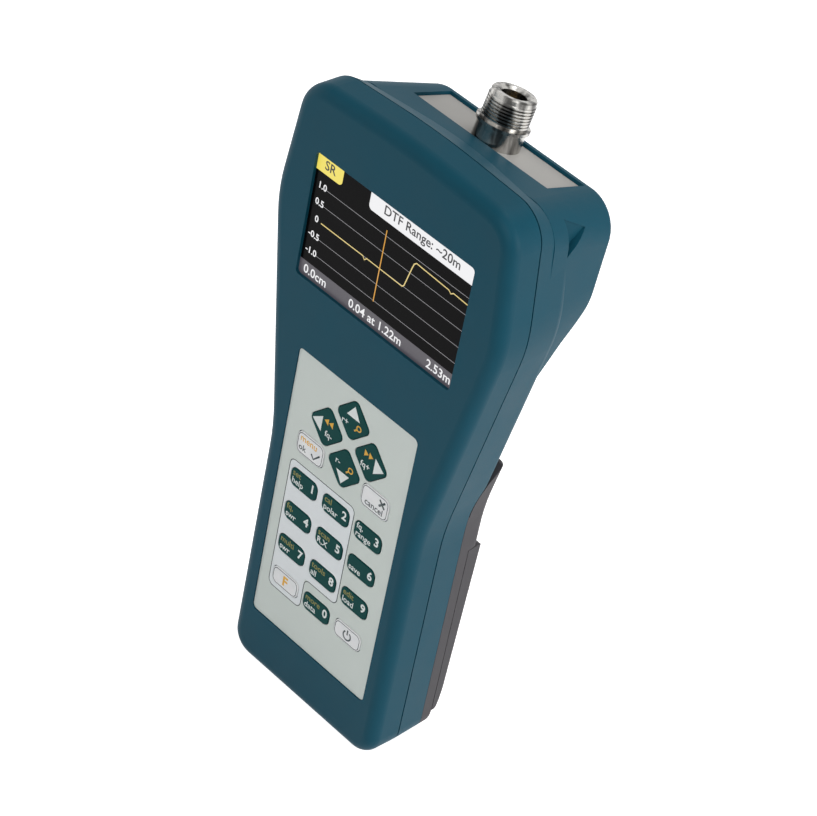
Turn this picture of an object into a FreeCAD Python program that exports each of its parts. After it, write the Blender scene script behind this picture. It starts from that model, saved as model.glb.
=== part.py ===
import FreeCAD, Part
import math
import os

# Handheld antenna analyzer, millimetres, standing on its bottom end.
# X runs to the right, Y from the front face to the back, Z up. The origin lies on the ground
# under the middle of the case. Depths are measured from the front face.
V = FreeCAD.Vector

# Case outline, seen from the front
mid_depth = 26.54           # from the front face to the middle of the case
grip_half = 36.3            # half width of the grip
waist_z = 97.0              # where the grip starts to flare
head_half = 52.4            # half width at the widest corner of the head
head_z = 182.5
shoulder_half = 47.5        # half width at the top corners
shoulder_z = 227.3
crown_z = 230.1             # peak of the slightly crowned top edge
bottom_radius = 9.0
waist_radius = 88.0
head_radius = 56.0
shoulder_radius = 13.0
crown_radius = 300.0

# Case depths and walls
wall = 2.4
face_wall = 2.6
face_radius = 4.5           # rounding of the front edge
parting_depth = 13.0
seal_gap = 0.5              # width of the groove between the halves
seal_inset = 1.1            # how far the seal lies back in that groove
seal_width = 1.0
waist_depth = 31.5          # thickness of the case at the waist
side_taper = 2.0            # how far the rear half narrows over that depth
roof_drop = 8.4             # how far its top falls over that depth
waist_edge_radius = 5.0

# Head block: a box that leans back out of the rear half
roof_tilt = 15.0            # slope of the roof and lean of the socket, degrees
ridge_depth = 32.2          # where the steep band meets the roof
ridge_z = 221.0
roof_length = 22.0          # along the slope, from the ridge to the back wall
back_lean = 12.5            # lean of the back wall, degrees
block_front = 20.0          # depth at which the block starts, inside the case
block_low_z = 150.0
block_front_steps = (7.0, 1.2, 5.2)     # in from the head's widest corner: low, there, at the top
block_back_steps = (11.8, 6.8, 8.2)
block_corner_radius = 13.0
block_side_radius = 60.0
slope_foot_z = 164.0        # where the underside leaves the waist
slope_top_z = 182.5
slope_radius = 15.0
back_edge_radius = 2.0
block_over = 8.0            # its sides are drawn on behind the back wall, then cut off

# Wedge notch in each side of the head
notch_depth = 3.0
notch_z = 207.5
notch_front = 27.5
notch_length = 9.5          # of its ledge, backwards
notch_rise = 6.3            # of that ledge
notch_height = 11.5         # of its front edge

# Screen
screen_half = 36.2
screen_low_z = 159.4
screen_high_z = 205.7
screen_radius = 1.5
lip = 1.2                   # thickness of the face around the screen
window_margin = 2.0
window_thickness = 1.4
window_clearance = 0.2
foam_thickness = 0.4
display_margin = 1.2
foam_margin = 1.2
display_thickness = 3.2
bracket_thickness = 1.2
bracket_ear_radius = 2.6
bracket_rim = 5.6           # width of the bracket's frame
bracket_post_radius = 2.4
bracket_ear_gap = 0.2
window_radius = 1.0
foam_overlap = 0.4          # of the opening in the foam beyond the visible picture
foam_radius = 0.5
display_radius = 0.8
bracket_radius = 2.0
flex_half = 9.0
flex_length = 16.0
flex_thickness = 0.3
flex_offset = 3.0           # above the lower rim of the bracket

# Key field
label_half = 28.6
label_low_z = 22.4
label_high_z = 134.6
label_radius = 2.0
label_recess = 1.0
overlay_thickness = 0.5
overlay_clearance = 0.1
key_pitch_x = 15.9
key_pitch_z = 14.25
key_row_z = 85.6            # height of the row 1 2 3
number_key = (12.8, 7.1)
answer_key = (12.9, 8.8)
answer_row_z = 100.4        # height of the ok and cancel keys
key_radius = 2.4
arrow_side = 11.5
arrow_radius = 2.0
arrow_centre_z = 113.25
arrow_rise = 9.9
arrow_reach = 10.7
key_front = 0.2             # depth of the key faces
key_clearance = 0.3
key_travel = 0.3
key_flange = 0.5
key_flange_thickness = 0.7
key_face_round = 0.25
plunger_radius = 2.0
plunger_length = 0.7
dome_clearance = 0.2        # left between plunger and dome when the key is down
dome_height = 0.5
dome_radius = 3.4
mat_thickness = 0.6
mat_inset = 1.0

# Boards
keypad_board_half = 25.4
keypad_board_low_z = 18.0
keypad_board_high_z = 137.0
board_thickness = 1.6
board_radius = 2.0
main_board_front = 12.2
main_board_inset = 4.6
boss_clearance = 0.6
board_tongue = 4.0          # overlap of the tongue under the charging socket
header_size = (20.0, 4.0)
header_z = 131.0
spacer_radius = 2.5
spacer_x = 21.0
spacer_z = (24.0, 128.0)
stud_radius = 1.0
stud_clearance = 0.1
spacer_bore_radius = 0.9
spacer_bore_depth = 3.0
board_post_x = 36.0
board_post_z = 217.5
shield_half = 24.0
shield_low_z = 166.0
shield_high_z = 205.0
shield_height = 8.0
shield_wall = 0.4
shield_radius = 1.0
vent_radius = 1.2
vent_pitch = 6.0
vent_offset = 8.0           # of the lower row above the can's edge
vent_rows = 2
vent_columns = 5
chips = ((0.0, 146.0, 14.0, 14.0, 1.4), (-20.0, 150.0, 9.0, 11.0, 1.2), (19.0, 148.0, 7.0, 7.0, 1.0),
         (-12.0, 118.0, 10.0, 6.0, 1.6), (12.0, 116.0, 8.0, 8.0, 2.6))
buzzer_x = 14.0
buzzer_z = 96.0
buzzer_radius = 6.0
buzzer_height = 2.6
buzzer_hole_radius = 1.2
buzzer_floor = 1.0
usb_size = (8.9, 6.4, 3.2)      # wide, tall, deep
usb_corner = 1.2
usb_clearance = 0.4
usb_low_z = 0.8
usb_wall = 0.35
usb_back = 1.0              # closed inner end
usb_tongue_side = 1.6       # from the shell's side to its tongue
usb_tongue_half = 0.35
usb_tongue_inset = 1.0
usb_room_height = 1.5       # of the opening above the wall

# Socket on the roof: N type, 5/8-24 thread
socket_along = 8.8          # from the ridge down the slope to the socket's axis
thread_radius = 7.94
thread_pitch = 1.058
thread_groove = 0.55
thread_turns = 7
barrel_length = 10.0
nose_length = 1.6
nose_radius = 7.6
relief_radius = 7.1
relief_length = 1.0
collar_radius = 9.0
collar_length = 1.0
base_radius = 8.2
base_length = 6.4
stub_radius = 5.6
stub_length = 12.0
mouth_radius = 5.4
bore_radius = 4.4
bore_depth = 9.1
mouth_chamfer = 1.0
insulator_radius = 4.0
contact_radius = 1.52
contact_bore_radius = 0.83
contact_reach = 4.6         # the contact's tip lies this far below the mouth
contact_tail = 3.0
socket_fit = 0.02
nut_across = 15.0
nut_height = 3.0
washer_radius = 7.2
washer_thickness = 0.8
link_radius = 1.1
link_bend = 7.0
link_drop = 6.0             # below the contact's tail to the bend
mouth_edge = 0.5
contact_chamfer = 0.3
contact_bore_depth = 4.0
contact_slot = (4.0, 0.3, 3.0)  # across, wide, deep
stub_clearance = 0.1
nut_clearance = 0.05

# Top panel
panel_half = 30.1
panel_start = 0.5           # along the slope, from the ridge
panel_end = 18.6
panel_thickness = 1.5
panel_recess = 1.2
panel_clearance = 0.15
panel_ledge = 2.0
panel_screw_x = 25.5
panel_shelf = 0.6           # narrow ledge along the front and back of the panel
panel_screw_radius = 0.9
panel_screw_bite = 1.0
panel_screw_clearance = 0.1
panel_thread_clearance = 0.05
panel_opening_side = 4.5    # from the screws' axes to the hole under the panel

# Battery pack
pack_seam_depth = 25.0
seam_gap = 0.15
pack_step = 5.6             # how far its upper, flat part stands behind the rim
pack_top_z = 97.0           # where the blue shell starts to stand over the pack
pack_lip_radius = 26.7
pack_lip_z = 117.0
lip_gap = 0.5
pack_foot_depth = 28.6
pack_edge_radius = 3.6
pack_wall = 1.8
pack_side_room = 6.5        # from the grip's side to the hollow over the cells
pack_room_drop = 2.0        # of that hollow below the lip
rim_depth = 30.0            # seam between pack and cover
cover_low_z = 8.2
cover_top_z = 80.0
cover_gap = 0.3
cover_rise_top = 8.9        # how far the cover stands behind the rim
cover_rise_low = 7.0
cover_knee_z = 25.0
cover_round = 4.0            # at the top step
cover_side_round = 4.5
cover_foot = 2.2            # height of the cover's edge at its foot
cover_foot_radius = 1.5
cover_knee_radius = 8.0
cover_wall = 1.8
cover_tab = (12.0, 1.4, 4.0)    # wide, thick, long
cover_tab_x = 16.0
grip_half_width = 12.0
grip_z = 70.0
grip_ridges = 4
grip_pitch = 2.0
grip_depth = 0.7

# Cells and contacts
cell_radius = 7.25
cell_length = 49.2
cell_nub = (2.7, 1.3)
cell_pitch = 15.2
cell_low_z = 20.6
cell_room = 1.2             # between cells and cover
cell_clearance = 0.3
cell_sleeve_gap = 0.05
cell_round = 0.6
tub_wall = 1.6
contact_gap = 2.0
contact_thickness = 0.4
contact_width = 9.0
contact_forward = 5.0       # of the plates in front of the cells' axes
contact_backward = 4.0
contact_play = 0.3
leaf_half = 1.5
leaf_forward = 4.0
leaf_backward = 2.5
dish_radius = 2.0
rib_half = 0.8
rib_height = 1.8
strap_width = 3.0
strap_drop = 0.4            # below the spring plates
strap_thickness = 0.4

# Screws
screw_radius = 1.5
head_radius_m3 = 2.75
head_height = 1.8
small_head_radius = 1.9
small_head_height = 1.2
small_shank_radius = 0.9
stud_shank_radius = 0.85
small_hole_radius = 1.1
small_bite = 2.5
boss_radius = 3.6
upper_screw = (41.3, 190.0)
lower_screw = (34.5, 141.0)
pack_upper_screw = (29.4, 102.0)
pack_lower_screw = (29.4, 20.0)
screw_floor = 2.0           # material under each screw head
thread_hold = 7.0
bite = 5.0                  # of the long screws into the front posts
post_bore_radius = 1.0
shank_clearance = 0.15
thread_clearance = 0.1
head_clearance = 0.35
deep_boss_extra = 1.0       # on the radius of the bosses in the head block
over = 1.0                  # cuts reach this far beyond what they cut
far_over = 20.0
smallest_radius = 0.1
near = 1e-4                 # positions this close count as the same

pack_depth = rim_depth + pack_step
cover_depth_top = rim_depth + cover_rise_top
cover_depth_low = rim_depth + cover_rise_low
parting_back = parting_depth + seal_gap / 2
parting_front = parting_depth - seal_gap / 2
face_y = -mid_depth
key_body_back = face_wall + key_clearance
plunger_end = key_body_back + key_flange_thickness + plunger_length
dome_top = plunger_end + key_travel + dome_clearance
mat_front = dome_top + dome_height
keypad_board_front = mat_front + mat_thickness
keypad_board_back = keypad_board_front + board_thickness
main_board_back = main_board_front + board_thickness
display_front = lip + window_thickness + foam_thickness
cell_depth = cover_depth_low - cover_wall - cell_room - 2 * cell_clearance - cell_radius
tub_front = cell_depth - cell_radius - cell_clearance - tub_wall
tub_half = cell_pitch + cell_radius + cell_clearance
tub_low_z = cell_low_z - contact_gap - contact_thickness - cell_clearance
tub_high_z = cell_low_z + cell_length + cell_nub[1] + contact_gap + contact_thickness + cell_clearance
roof_slope = math.tan(math.radians(roof_tilt))
back_slope = math.tan(math.radians(back_lean))
top_back_depth = ridge_depth + roof_length * math.cos(math.radians(roof_tilt))
top_back_z = ridge_z - roof_length * math.sin(math.radians(roof_tilt))
block_front_halves = [head_half - step for step in block_front_steps]
block_back_halves = [head_half - step for step in block_back_steps]


def y_at(depth):
    return face_y + depth


# Flat outlines

def inset_points(points, distance):
    """Move every edge of a counter-clockwise polygon inwards."""
    moved = []
    count = len(points)
    for i in range(count):
        before, here, after = points[i - 1], points[i], points[(i + 1) % count]
        ax, ay = here[0] - before[0], here[1] - before[1]
        bx, by = after[0] - here[0], after[1] - here[1]
        la, lb = math.hypot(ax, ay), math.hypot(bx, by)
        ax, ay, bx, by = ax / la, ay / la, bx / lb, by / lb
        turn = ax * by - ay * bx
        dot = ax * bx + ay * by
        shift = distance * (dot - 1) / turn
        moved.append((here[0] - distance * ay + ax * shift, here[1] + distance * ax + ay * shift))
    return moved


def inset_radii(points, radii, distance):
    """Outer corners tighten and inner corners widen when an outline moves inwards."""
    changed = []
    count = len(points)
    for i in range(count):
        before, here, after = points[i - 1], points[i], points[(i + 1) % count]
        turn = (here[0] - before[0]) * (after[1] - here[1]) - (here[1] - before[1]) * (after[0] - here[0])
        radius = radii[i] - distance if turn > 0 else radii[i] + distance
        changed.append(max(radius, 0.0) if radii[i] > 0 else 0.0)
    return changed


def rounded_wire(points, radii, place):
    """A closed wire of lines with an arc of its own radius at each corner."""
    count = len(points)
    corners = []
    for i in range(count):
        before, here, after = points[i - 1], points[i], points[(i + 1) % count]
        ax, ay = before[0] - here[0], before[1] - here[1]
        bx, by = after[0] - here[0], after[1] - here[1]
        la, lb = math.hypot(ax, ay), math.hypot(bx, by)
        ax, ay, bx, by = ax / la, ay / la, bx / lb, by / lb
        half = math.acos(max(-1.0, min(1.0, ax * bx + ay * by))) / 2
        if radii[i] <= 0:
            corners.append((here, None, here))
            continue
        run = radii[i] / math.tan(half)
        mx, my = ax + bx, ay + by
        lm = math.hypot(mx, my)
        reach = radii[i] / math.sin(half) - radii[i]
        corners.append(((here[0] + ax * run, here[1] + ay * run),
                        (here[0] + mx / lm * reach, here[1] + my / lm * reach),
                        (here[0] + bx * run, here[1] + by * run)))
    edges = []
    for i in range(count):
        start, middle, end = corners[i]
        if middle is not None:
            edges.append(Part.Arc(place(*start), place(*middle), place(*end)).toShape())
        following = corners[(i + 1) % count][0]
        if math.hypot(following[0] - end[0], following[1] - end[1]) > 1e-6:
            edges.append(Part.LineSegment(place(*end), place(*following)).toShape())
    return Part.Wire(edges)


def front_prism(points, radii, depth, end_depth):
    """Push a front outline from one depth to another."""
    wire = rounded_wire(points, radii, lambda x, z: V(x, y_at(depth), z))
    return Part.Face(wire).extrude(V(0, end_depth - depth, 0))


def side_prism(points, radii, half_width):
    """Push a side outline, given as depth and height, across the case."""
    wire = rounded_wire(points, radii, lambda d, z: V(-half_width, y_at(d), z))
    return Part.Face(wire).extrude(V(2 * half_width, 0, 0))


def box(x0, x1, d0, d1, z0, z1):
    return Part.makeBox(x1 - x0, d1 - d0, z1 - z0, V(x0, y_at(d0), z0))


def rod(x, z, radius, d0, d1):
    """A round rod from depth d0 to d1."""
    return Part.makeCylinder(radius, d1 - d0, V(x, y_at(d0), z), V(0, 1, 0))


def tilted(shape):
    """Carry a shape from the roof's own frame, with its Y down the slope and its Z square to it."""
    placed = shape.copy()
    placed.rotate(V(0, 0, 0), V(1, 0, 0), -roof_tilt)
    placed.translate(V(0, y_at(ridge_depth), ridge_z))
    return placed


def fuse(shapes):
    whole = shapes[0]
    if len(shapes) > 1:
        whole = whole.fuse(shapes[1:])
    return whole.removeSplitter()


def round_edges(shape, radius, wanted):
    edges = [edge for edge in shape.Edges if wanted(edge)]
    return shape.makeFillet(radius, edges)


def rectangle(half_width, low, high, inset=0.0):
    return [(-half_width + inset, low + inset), (half_width - inset, low + inset),
            (half_width - inset, high - inset), (-half_width + inset, high - inset)]


def frame_of(x, z):
    return [(x, z), (-x, z)]


# Case

def case_points(drop):
    half = [(grip_half, 0.0), (grip_half, waist_z), (head_half, head_z), (shoulder_half, shoulder_z - drop)]
    other = [(-x, z) for x, z in reversed(half)]
    return half + [(0.0, crown_z - drop)] + other


def case_radii():
    half = [bottom_radius, waist_radius, head_radius, shoulder_radius]
    return half + [crown_radius] + half[::-1]


def case_section(depth, inset):
    """The rear half narrows and its top falls as it goes back; its foot stays level."""
    share = (depth - parting_depth) / (waist_depth - parting_depth)
    share = max(share, 0.0)
    points = case_points(roof_drop * share)
    distance = inset + side_taper * share
    radii = inset_radii(points, case_radii(), distance)
    points = inset_points(points, distance)
    points[0] = (points[0][0], inset)
    points[-1] = (points[-1][0], inset)
    return rounded_wire(points, radii, lambda x, z: V(x, y_at(depth), z))


def case_slab(depth, end_depth, inset):
    return Part.makeLoft([case_section(depth, inset), case_section(end_depth, inset)], True, True)


def front_outline(inset, depth, end_depth):
    points = case_points(0.0)
    radii = inset_radii(points, case_radii(), inset)
    return front_prism(inset_points(points, inset), radii, depth, end_depth)


def block_section(depth, inset):
    share = (depth - block_front) / (top_back_depth - block_front)
    low, middle, top = [a + (b - a) * share for a, b in zip(block_front_halves, block_back_halves)]
    roof = ridge_z - (depth - ridge_depth) * roof_slope
    half = [(low, block_low_z), (middle, head_z), (top, roof)]
    points = half + [(-x, z) for x, z in reversed(half)]
    radii = [0.0, block_side_radius, block_corner_radius]
    radii = radii + radii[::-1]
    return rounded_wire(inset_points(points, inset), inset_radii(points, radii, inset),
                        lambda x, z: V(x, y_at(depth), z))


def block_profile(inset):
    """Side outline of the head block: back wall, and the slope below it down to the waist."""
    back_low = top_back_depth - (top_back_z - slope_top_z) * back_slope
    back_high = top_back_depth + far_over * back_slope
    front, low, high = block_front - far_over, block_low_z - far_over, top_back_z + far_over
    points = [(front, low), (waist_depth - far_over, low), (waist_depth, slope_foot_z), (back_low, slope_top_z),
              (back_high, high), (front, high)]
    radii = [0.0, 0.0, 0.0, slope_radius, 0.0, 0.0]
    return side_prism(inset_points(points, inset), inset_radii(points, radii, inset), head_half + far_over)


def head_block(inset):
    sides = Part.makeLoft([block_section(block_front + inset, inset),
                           block_section(top_back_depth + block_over, inset)], True, True)
    return sides.common(block_profile(inset))


def pack_region(margin):
    """Everything behind the seam of the battery pack, under the flared edge of the shell."""
    seam = pack_seam_depth - margin
    radius = pack_lip_radius + margin
    centre = pack_seam_depth + pack_lip_radius
    sweep = math.asin(min(1.0, (pack_lip_z + margin - pack_top_z) / radius))
    far = centre + head_half

    def at(depth, z):
        return V(-head_half * 1.2, y_at(depth), z)

    def on_arc(angle):
        return at(centre - radius * math.cos(angle), pack_top_z + radius * math.sin(angle))

    end = on_arc(sweep)
    corner = at(far, pack_lip_z + margin)
    edges = [Part.LineSegment(at(seam, -wall), at(seam, pack_top_z)).toShape(),
             Part.Arc(at(seam, pack_top_z), on_arc(sweep / 2), end).toShape(),
             Part.LineSegment(end, corner).toShape(),
             Part.LineSegment(corner, at(far, -wall)).toShape(),
             Part.LineSegment(at(far, -wall), at(seam, -wall)).toShape()]
    return Part.Face(Part.Wire(edges)).extrude(V(head_half * 2.4, 0, 0))


def screw_places():
    """Place of each pair of screws, and what they hold."""
    return [(upper_screw, "case"), (lower_screw, "case"),
            (pack_upper_screw, "pack"), (pack_lower_screw, "pack")]


def seat_depth(place, kind):
    if kind == "pack":
        return rim_depth - wall if place == pack_lower_screw else pack_depth - wall
    return parting_back + thread_hold + screw_floor


def boss_rods(radius, d0, d1, kinds=("case", "pack")):
    rods = []
    for place, kind in screw_places():
        if kind in kinds:
            rods += [rod(x, z, radius, d0, d1) for x, z in frame_of(*place)]
    return rods


def key_table():
    """Name, centre, size, corner radius and turn of each key."""
    keys = []
    for i in range(9):
        column, row = i % 3 - 1, i // 3
        keys.append(("key_%d" % (i + 1), column * key_pitch_x, key_row_z - row * key_pitch_z, number_key,
                     key_radius, 0))
    last_row = key_row_z - 3 * key_pitch_z
    keys.append(("key_0", 0.0, last_row, number_key, key_radius, 0))
    keys.append(("key_shift", -key_pitch_x, last_row, number_key, key_radius, 0))
    keys.append(("key_power", key_pitch_x, last_row, number_key, key_radius, 0))
    keys.append(("key_ok", -key_pitch_x, answer_row_z, answer_key, key_radius, 0))
    keys.append(("key_cancel", key_pitch_x, answer_row_z, answer_key, key_radius, 0))
    arrow = (arrow_side, arrow_side)
    keys.append(("key_up", 0.0, arrow_centre_z + arrow_rise, arrow, arrow_radius, 45))
    keys.append(("key_down", 0.0, arrow_centre_z - arrow_rise, arrow, arrow_radius, 45))
    keys.append(("key_left", -arrow_reach, arrow_centre_z, arrow, arrow_radius, 45))
    keys.append(("key_right", arrow_reach, arrow_centre_z, arrow, arrow_radius, 45))
    return keys


def key_prism(key, margin, d0, d1):
    name, x, z, size, radius, turn = key
    half_x, half_z = size[0] / 2 + margin, size[1] / 2 + margin
    points = [(-half_x, -half_z), (half_x, -half_z), (half_x, half_z), (-half_x, half_z)]
    shape = front_prism(points, [radius + margin] * 4, d0, d1)
    shape.rotate(V(0, 0, 0), V(0, 1, 0), turn)
    shape.translate(V(x, 0, z))
    return shape


def front_shell():
    body = front_outline(0.0, 0.0, parting_front)
    body = round_edges(body, face_radius, lambda e: abs(e.BoundBox.YMax - face_y) < near)
    body = body.cut(front_outline(wall, face_wall, parting_front))
    screen = rectangle(screen_half, screen_low_z, screen_high_z)
    tools = [front_prism(screen, [screen_radius] * 4, -over, face_wall + over)]
    pocket = rectangle(screen_half, screen_low_z, screen_high_z, -window_margin - window_clearance)
    tools.append(front_prism(pocket, [0.0] * 4, lip, face_wall + over))
    field = rectangle(label_half, label_low_z, label_high_z)
    tools.append(front_prism(field, [label_radius] * 4, -over, label_recess))
    for key in key_table():
        tools.append(key_prism(key, key_clearance, 0.0, face_wall + over))
    body = body.cut(tools)
    posts = boss_rods(boss_radius, face_wall, parting_back)
    posts += [rod(x, board_post_z, boss_radius, face_wall, main_board_front)
              for x in (-board_post_x, board_post_x)]
    posts += [rod(x, z, bracket_post_radius, face_wall, display_front + display_thickness)
              for x, z in display_ears()]
    shell_room = front_outline(wall / 2, 0.0, parting_back)
    posts = [post.common(shell_room) for post in posts]
    body = body.fuse(posts)
    holes = boss_rods(screw_radius, parting_back - thread_hold, parting_back)
    holes += [rod(x, board_post_z, screw_radius, main_board_front - thread_hold, main_board_front)
              for x in (-board_post_x, board_post_x)]
    holes += [rod(x, z, post_bore_radius, display_front, display_front + display_thickness)
              for x, z in display_ears()]
    body = body.cut(holes)
    return body.cut(usb_room(usb_clearance))


def rear_shell():
    slab = case_slab(parting_back, waist_depth, 0.0)
    back_y = y_at(waist_depth)
    slab = round_edges(slab, waist_edge_radius, lambda e: abs(e.BoundBox.YMin - back_y) < near)
    block = head_block(0.0)
    block = round_edges(block, back_edge_radius, back_wall_edge)
    outer = slab.fuse(block)
    outer = outer.cut(pack_region(0.0))
    inner = case_slab(parting_back, waist_depth - wall, wall).cut(pack_region(wall))
    inner = inner.fuse(head_block(wall))
    body = outer.cut(inner).fuse([notch_wall(side).common(outer) for side in (-1, 1)])
    body = body.cut([notch_tool(side) for side in (-1, 1)])
    ledge = tilted(Part.makeBox(2 * panel_half + 2 * panel_ledge, panel_end - panel_start + panel_ledge,
                                panel_ledge + panel_thickness,
                                V(-panel_half - panel_ledge, panel_start - panel_ledge,
                                  -panel_recess - panel_thickness - panel_ledge)))
    bosses = boss_rods(boss_radius, parting_back, waist_depth)
    bosses = [boss.common(outer) for boss in bosses]
    deep = [rod(x, z, boss_radius + deep_boss_extra, parting_back, top_back_depth).common(outer)
            for x, z in frame_of(*upper_screw)]
    body = body.fuse(bosses + deep + [ledge.common(outer)])
    low = -panel_recess - panel_thickness - panel_ledge
    holes = [tilted(Part.makeCylinder(panel_screw_radius + panel_screw_clearance, panel_ledge + over,
                                      V(x, y, low)))
             for x, y in panel_screw_places()]
    body = body.cut([panel_room(), panel_opening()] + holes)
    for place, kind in screw_places():
        for x, z in frame_of(*place):
            end = top_back_depth + far_over
            body = body.cut(rod(x, z, screw_radius + shank_clearance, parting_back - over, end))
            if kind == "case":
                body = body.cut(rod(x, z, head_radius_m3 + head_clearance, seat_depth(place, kind), end))
    tub = box(-tub_half - tub_wall - cell_clearance, tub_half + tub_wall + cell_clearance,
              pack_seam_depth - wall - over, pack_seam_depth + over,
              tub_low_z - tub_wall - cell_clearance, tub_high_z + tub_wall + cell_clearance)
    body = body.cut(tub)
    return body.cut(usb_room(usb_clearance)).removeSplitter()


def back_wall_edge(edge):
    """Edges of the head block's back wall, roof side and corners included."""
    low = top_back_depth - (top_back_z - slope_top_z) * back_slope
    for vertex in edge.Vertexes:
        depth = vertex.Point.y - face_y
        wall_depth = low + (vertex.Point.z - slope_top_z) * back_slope
        if vertex.Point.z < slope_top_z + slope_radius * 0.2 or abs(depth - wall_depth) > 100 * near:
            return False
    return True


def notch_tool(side):
    """A wedge that bites into the side of the head, deepest at its lower front corner."""
    corners = [(notch_front, notch_z, notch_depth), (notch_front + notch_length, notch_z + notch_rise, 0.0),
               (notch_front, notch_z + notch_height, 0.0)]
    inner = [V(side * (block_half(d, z) - bite), y_at(d), z) for d, z, bite in corners]
    outer = [V(side * (head_half + notch_depth), point.y, point.z) for point in inner]
    loops = [inner, outer]
    for i in range(3):
        j = (i + 1) % 3
        loops.append([inner[i], inner[j], outer[j], outer[i]])
    faces = [Part.Face(Part.makePolygon(loop + [loop[0]])) for loop in loops]
    tool = Part.Solid(Part.Shell(faces))
    if tool.Volume < 0:
        tool.reverse()
    return tool


def notch_wall(side):
    """A block behind the notch that keeps the wall closed where the notch is deeper than it."""
    inside, outside = head_half - max(block_front_steps) - notch_depth, head_half
    low, high = sorted((side * inside, side * outside))
    return box(low, high, notch_front - wall, notch_front + notch_length + wall,
               notch_z - wall, notch_z + notch_height + wall)


def block_half(depth, z):
    """Half width of the head block at a depth and height, its rounded corner included."""
    share = (depth - block_front) / (top_back_depth - block_front)
    middle, top = [a + (b - a) * share for a, b in zip(block_front_halves[1:], block_back_halves[1:])]
    roof = ridge_z - (depth - ridge_depth) * roof_slope
    half = middle + (top - middle) * (z - head_z) / (roof - head_z)
    above = max(z - (roof - block_corner_radius), 0.0)
    return half - block_corner_radius + math.sqrt(block_corner_radius ** 2 - above ** 2)


def case_gasket():
    ring = front_outline(seal_inset, parting_front, parting_back)
    return ring.cut(front_outline(seal_inset + seal_width, parting_front, parting_back))


# Screen

def display_ears():
    x = screen_half + display_margin + bracket_ear_radius + bracket_ear_gap
    low = screen_low_z - window_margin + bracket_ear_radius
    high = screen_high_z + window_margin - bracket_ear_radius
    return [(-x, low), (x, low), (-x, high), (x, high)]


def screen_window():
    points = rectangle(screen_half, screen_low_z, screen_high_z, -window_margin)
    return front_prism(points, [window_radius] * 4, lip, lip + window_thickness)


def window_gasket():
    outer = rectangle(screen_half, screen_low_z, screen_high_z, -foam_margin)
    inner = rectangle(screen_half, screen_low_z, screen_high_z, -foam_overlap)
    start = lip + window_thickness
    ring = front_prism(outer, [window_radius] * 4, start, start + foam_thickness)
    return ring.cut(front_prism(inner, [foam_radius] * 4, start, start + foam_thickness))


def display_module():
    points = rectangle(screen_half, screen_low_z, screen_high_z, -display_margin)
    return front_prism(points, [display_radius] * 4, display_front, display_front + display_thickness)


def display_bracket():
    start = display_front + display_thickness
    end = start + bracket_thickness
    outer = rectangle(screen_half, screen_low_z, screen_high_z, -display_margin)
    opening = rectangle(screen_half, screen_low_z, screen_high_z, bracket_rim)
    plate = front_prism(outer, [bracket_radius] * 4, start, end)
    ears = []
    for x, z in display_ears():
        ears.append(rod(x, z, bracket_ear_radius, start, end))
        inner_x = math.copysign(screen_half, x)
        ears.append(box(min(x, inner_x), max(x, inner_x), start, end,
                        z - bracket_ear_radius, z + bracket_ear_radius))
    plate = plate.fuse(ears).cut(front_prism(opening, [bracket_radius] * 4, start, end))
    return plate.cut([rod(x, z, small_hole_radius, start, end) for x, z in display_ears()]).removeSplitter()


# Keys

def keypad_overlay():
    points = rectangle(label_half, label_low_z, label_high_z, overlay_clearance)
    sheet = front_prism(points, [label_radius - overlay_clearance] * 4, label_recess - overlay_thickness,
                        label_recess)
    return sheet.cut([key_prism(key, key_clearance, 0.0, label_recess + over) for key in key_table()])


def one_key(key):
    cap = key_prism(key, 0.0, key_front, key_body_back)
    front = y_at(key_front)
    cap = round_edges(cap, key_face_round, lambda e: abs(e.BoundBox.YMax - front) < near)
    flange = key_prism(key, key_flange, key_body_back, key_body_back + key_flange_thickness)
    plunger = rod(key[1], key[2], plunger_radius, key_body_back + key_flange_thickness, plunger_end)
    return fuse([cap, flange, plunger])


def key_mat():
    points = rectangle(keypad_board_half, keypad_board_low_z, keypad_board_high_z, mat_inset)
    sheet = front_prism(points, [board_radius] * 4, mat_front, mat_front + mat_thickness)
    domes = [Part.makeCone(dome_radius, plunger_radius, dome_height, V(key[1], y_at(mat_front), key[2]),
                           V(0, -1, 0)) for key in key_table()]
    sheet = fuse([sheet] + domes)
    holes = [rod(x, z, spacer_radius + key_clearance, mat_front, mat_front + mat_thickness)
             for x in (-spacer_x, spacer_x) for z in spacer_z]
    return sheet.cut(holes)


# Boards

def keypad_board():
    points = rectangle(keypad_board_half, keypad_board_low_z, keypad_board_high_z)
    board = front_prism(points, [board_radius] * 4, keypad_board_front, keypad_board_back)
    return board.cut([rod(x, z, small_hole_radius, keypad_board_front, keypad_board_back)
                      for x in (-spacer_x, spacer_x) for z in spacer_z])


def main_board():
    board = front_outline(wall + main_board_inset, main_board_front, main_board_back)
    board = board.cut(boss_rods(boss_radius + boss_clearance, main_board_front, main_board_back))
    deep = [rod(x, z, boss_radius + deep_boss_extra + boss_clearance, main_board_front, main_board_back)
            for x, z in frame_of(*upper_screw)]
    board = board.cut(deep)
    holes = [rod(x, z, small_hole_radius, main_board_front, main_board_back)
             for x in (-spacer_x, spacer_x) for z in spacer_z]
    holes += [rod(x, board_post_z, screw_radius + shank_clearance, main_board_front, main_board_back)
              for x in (-board_post_x, board_post_x)]
    tongue = box(-usb_size[0], usb_size[0], main_board_front, main_board_back, wall + boss_clearance,
                 wall + main_board_inset + board_tongue)
    return board.fuse(tongue).cut(holes).removeSplitter()


def board_chips():
    parts = []
    for x, z, wide, tall, high in chips:
        parts.append(box(x - wide / 2, x + wide / 2, main_board_back, main_board_back + high,
                         z - tall / 2, z + tall / 2))
    return Part.makeCompound(parts)


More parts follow.
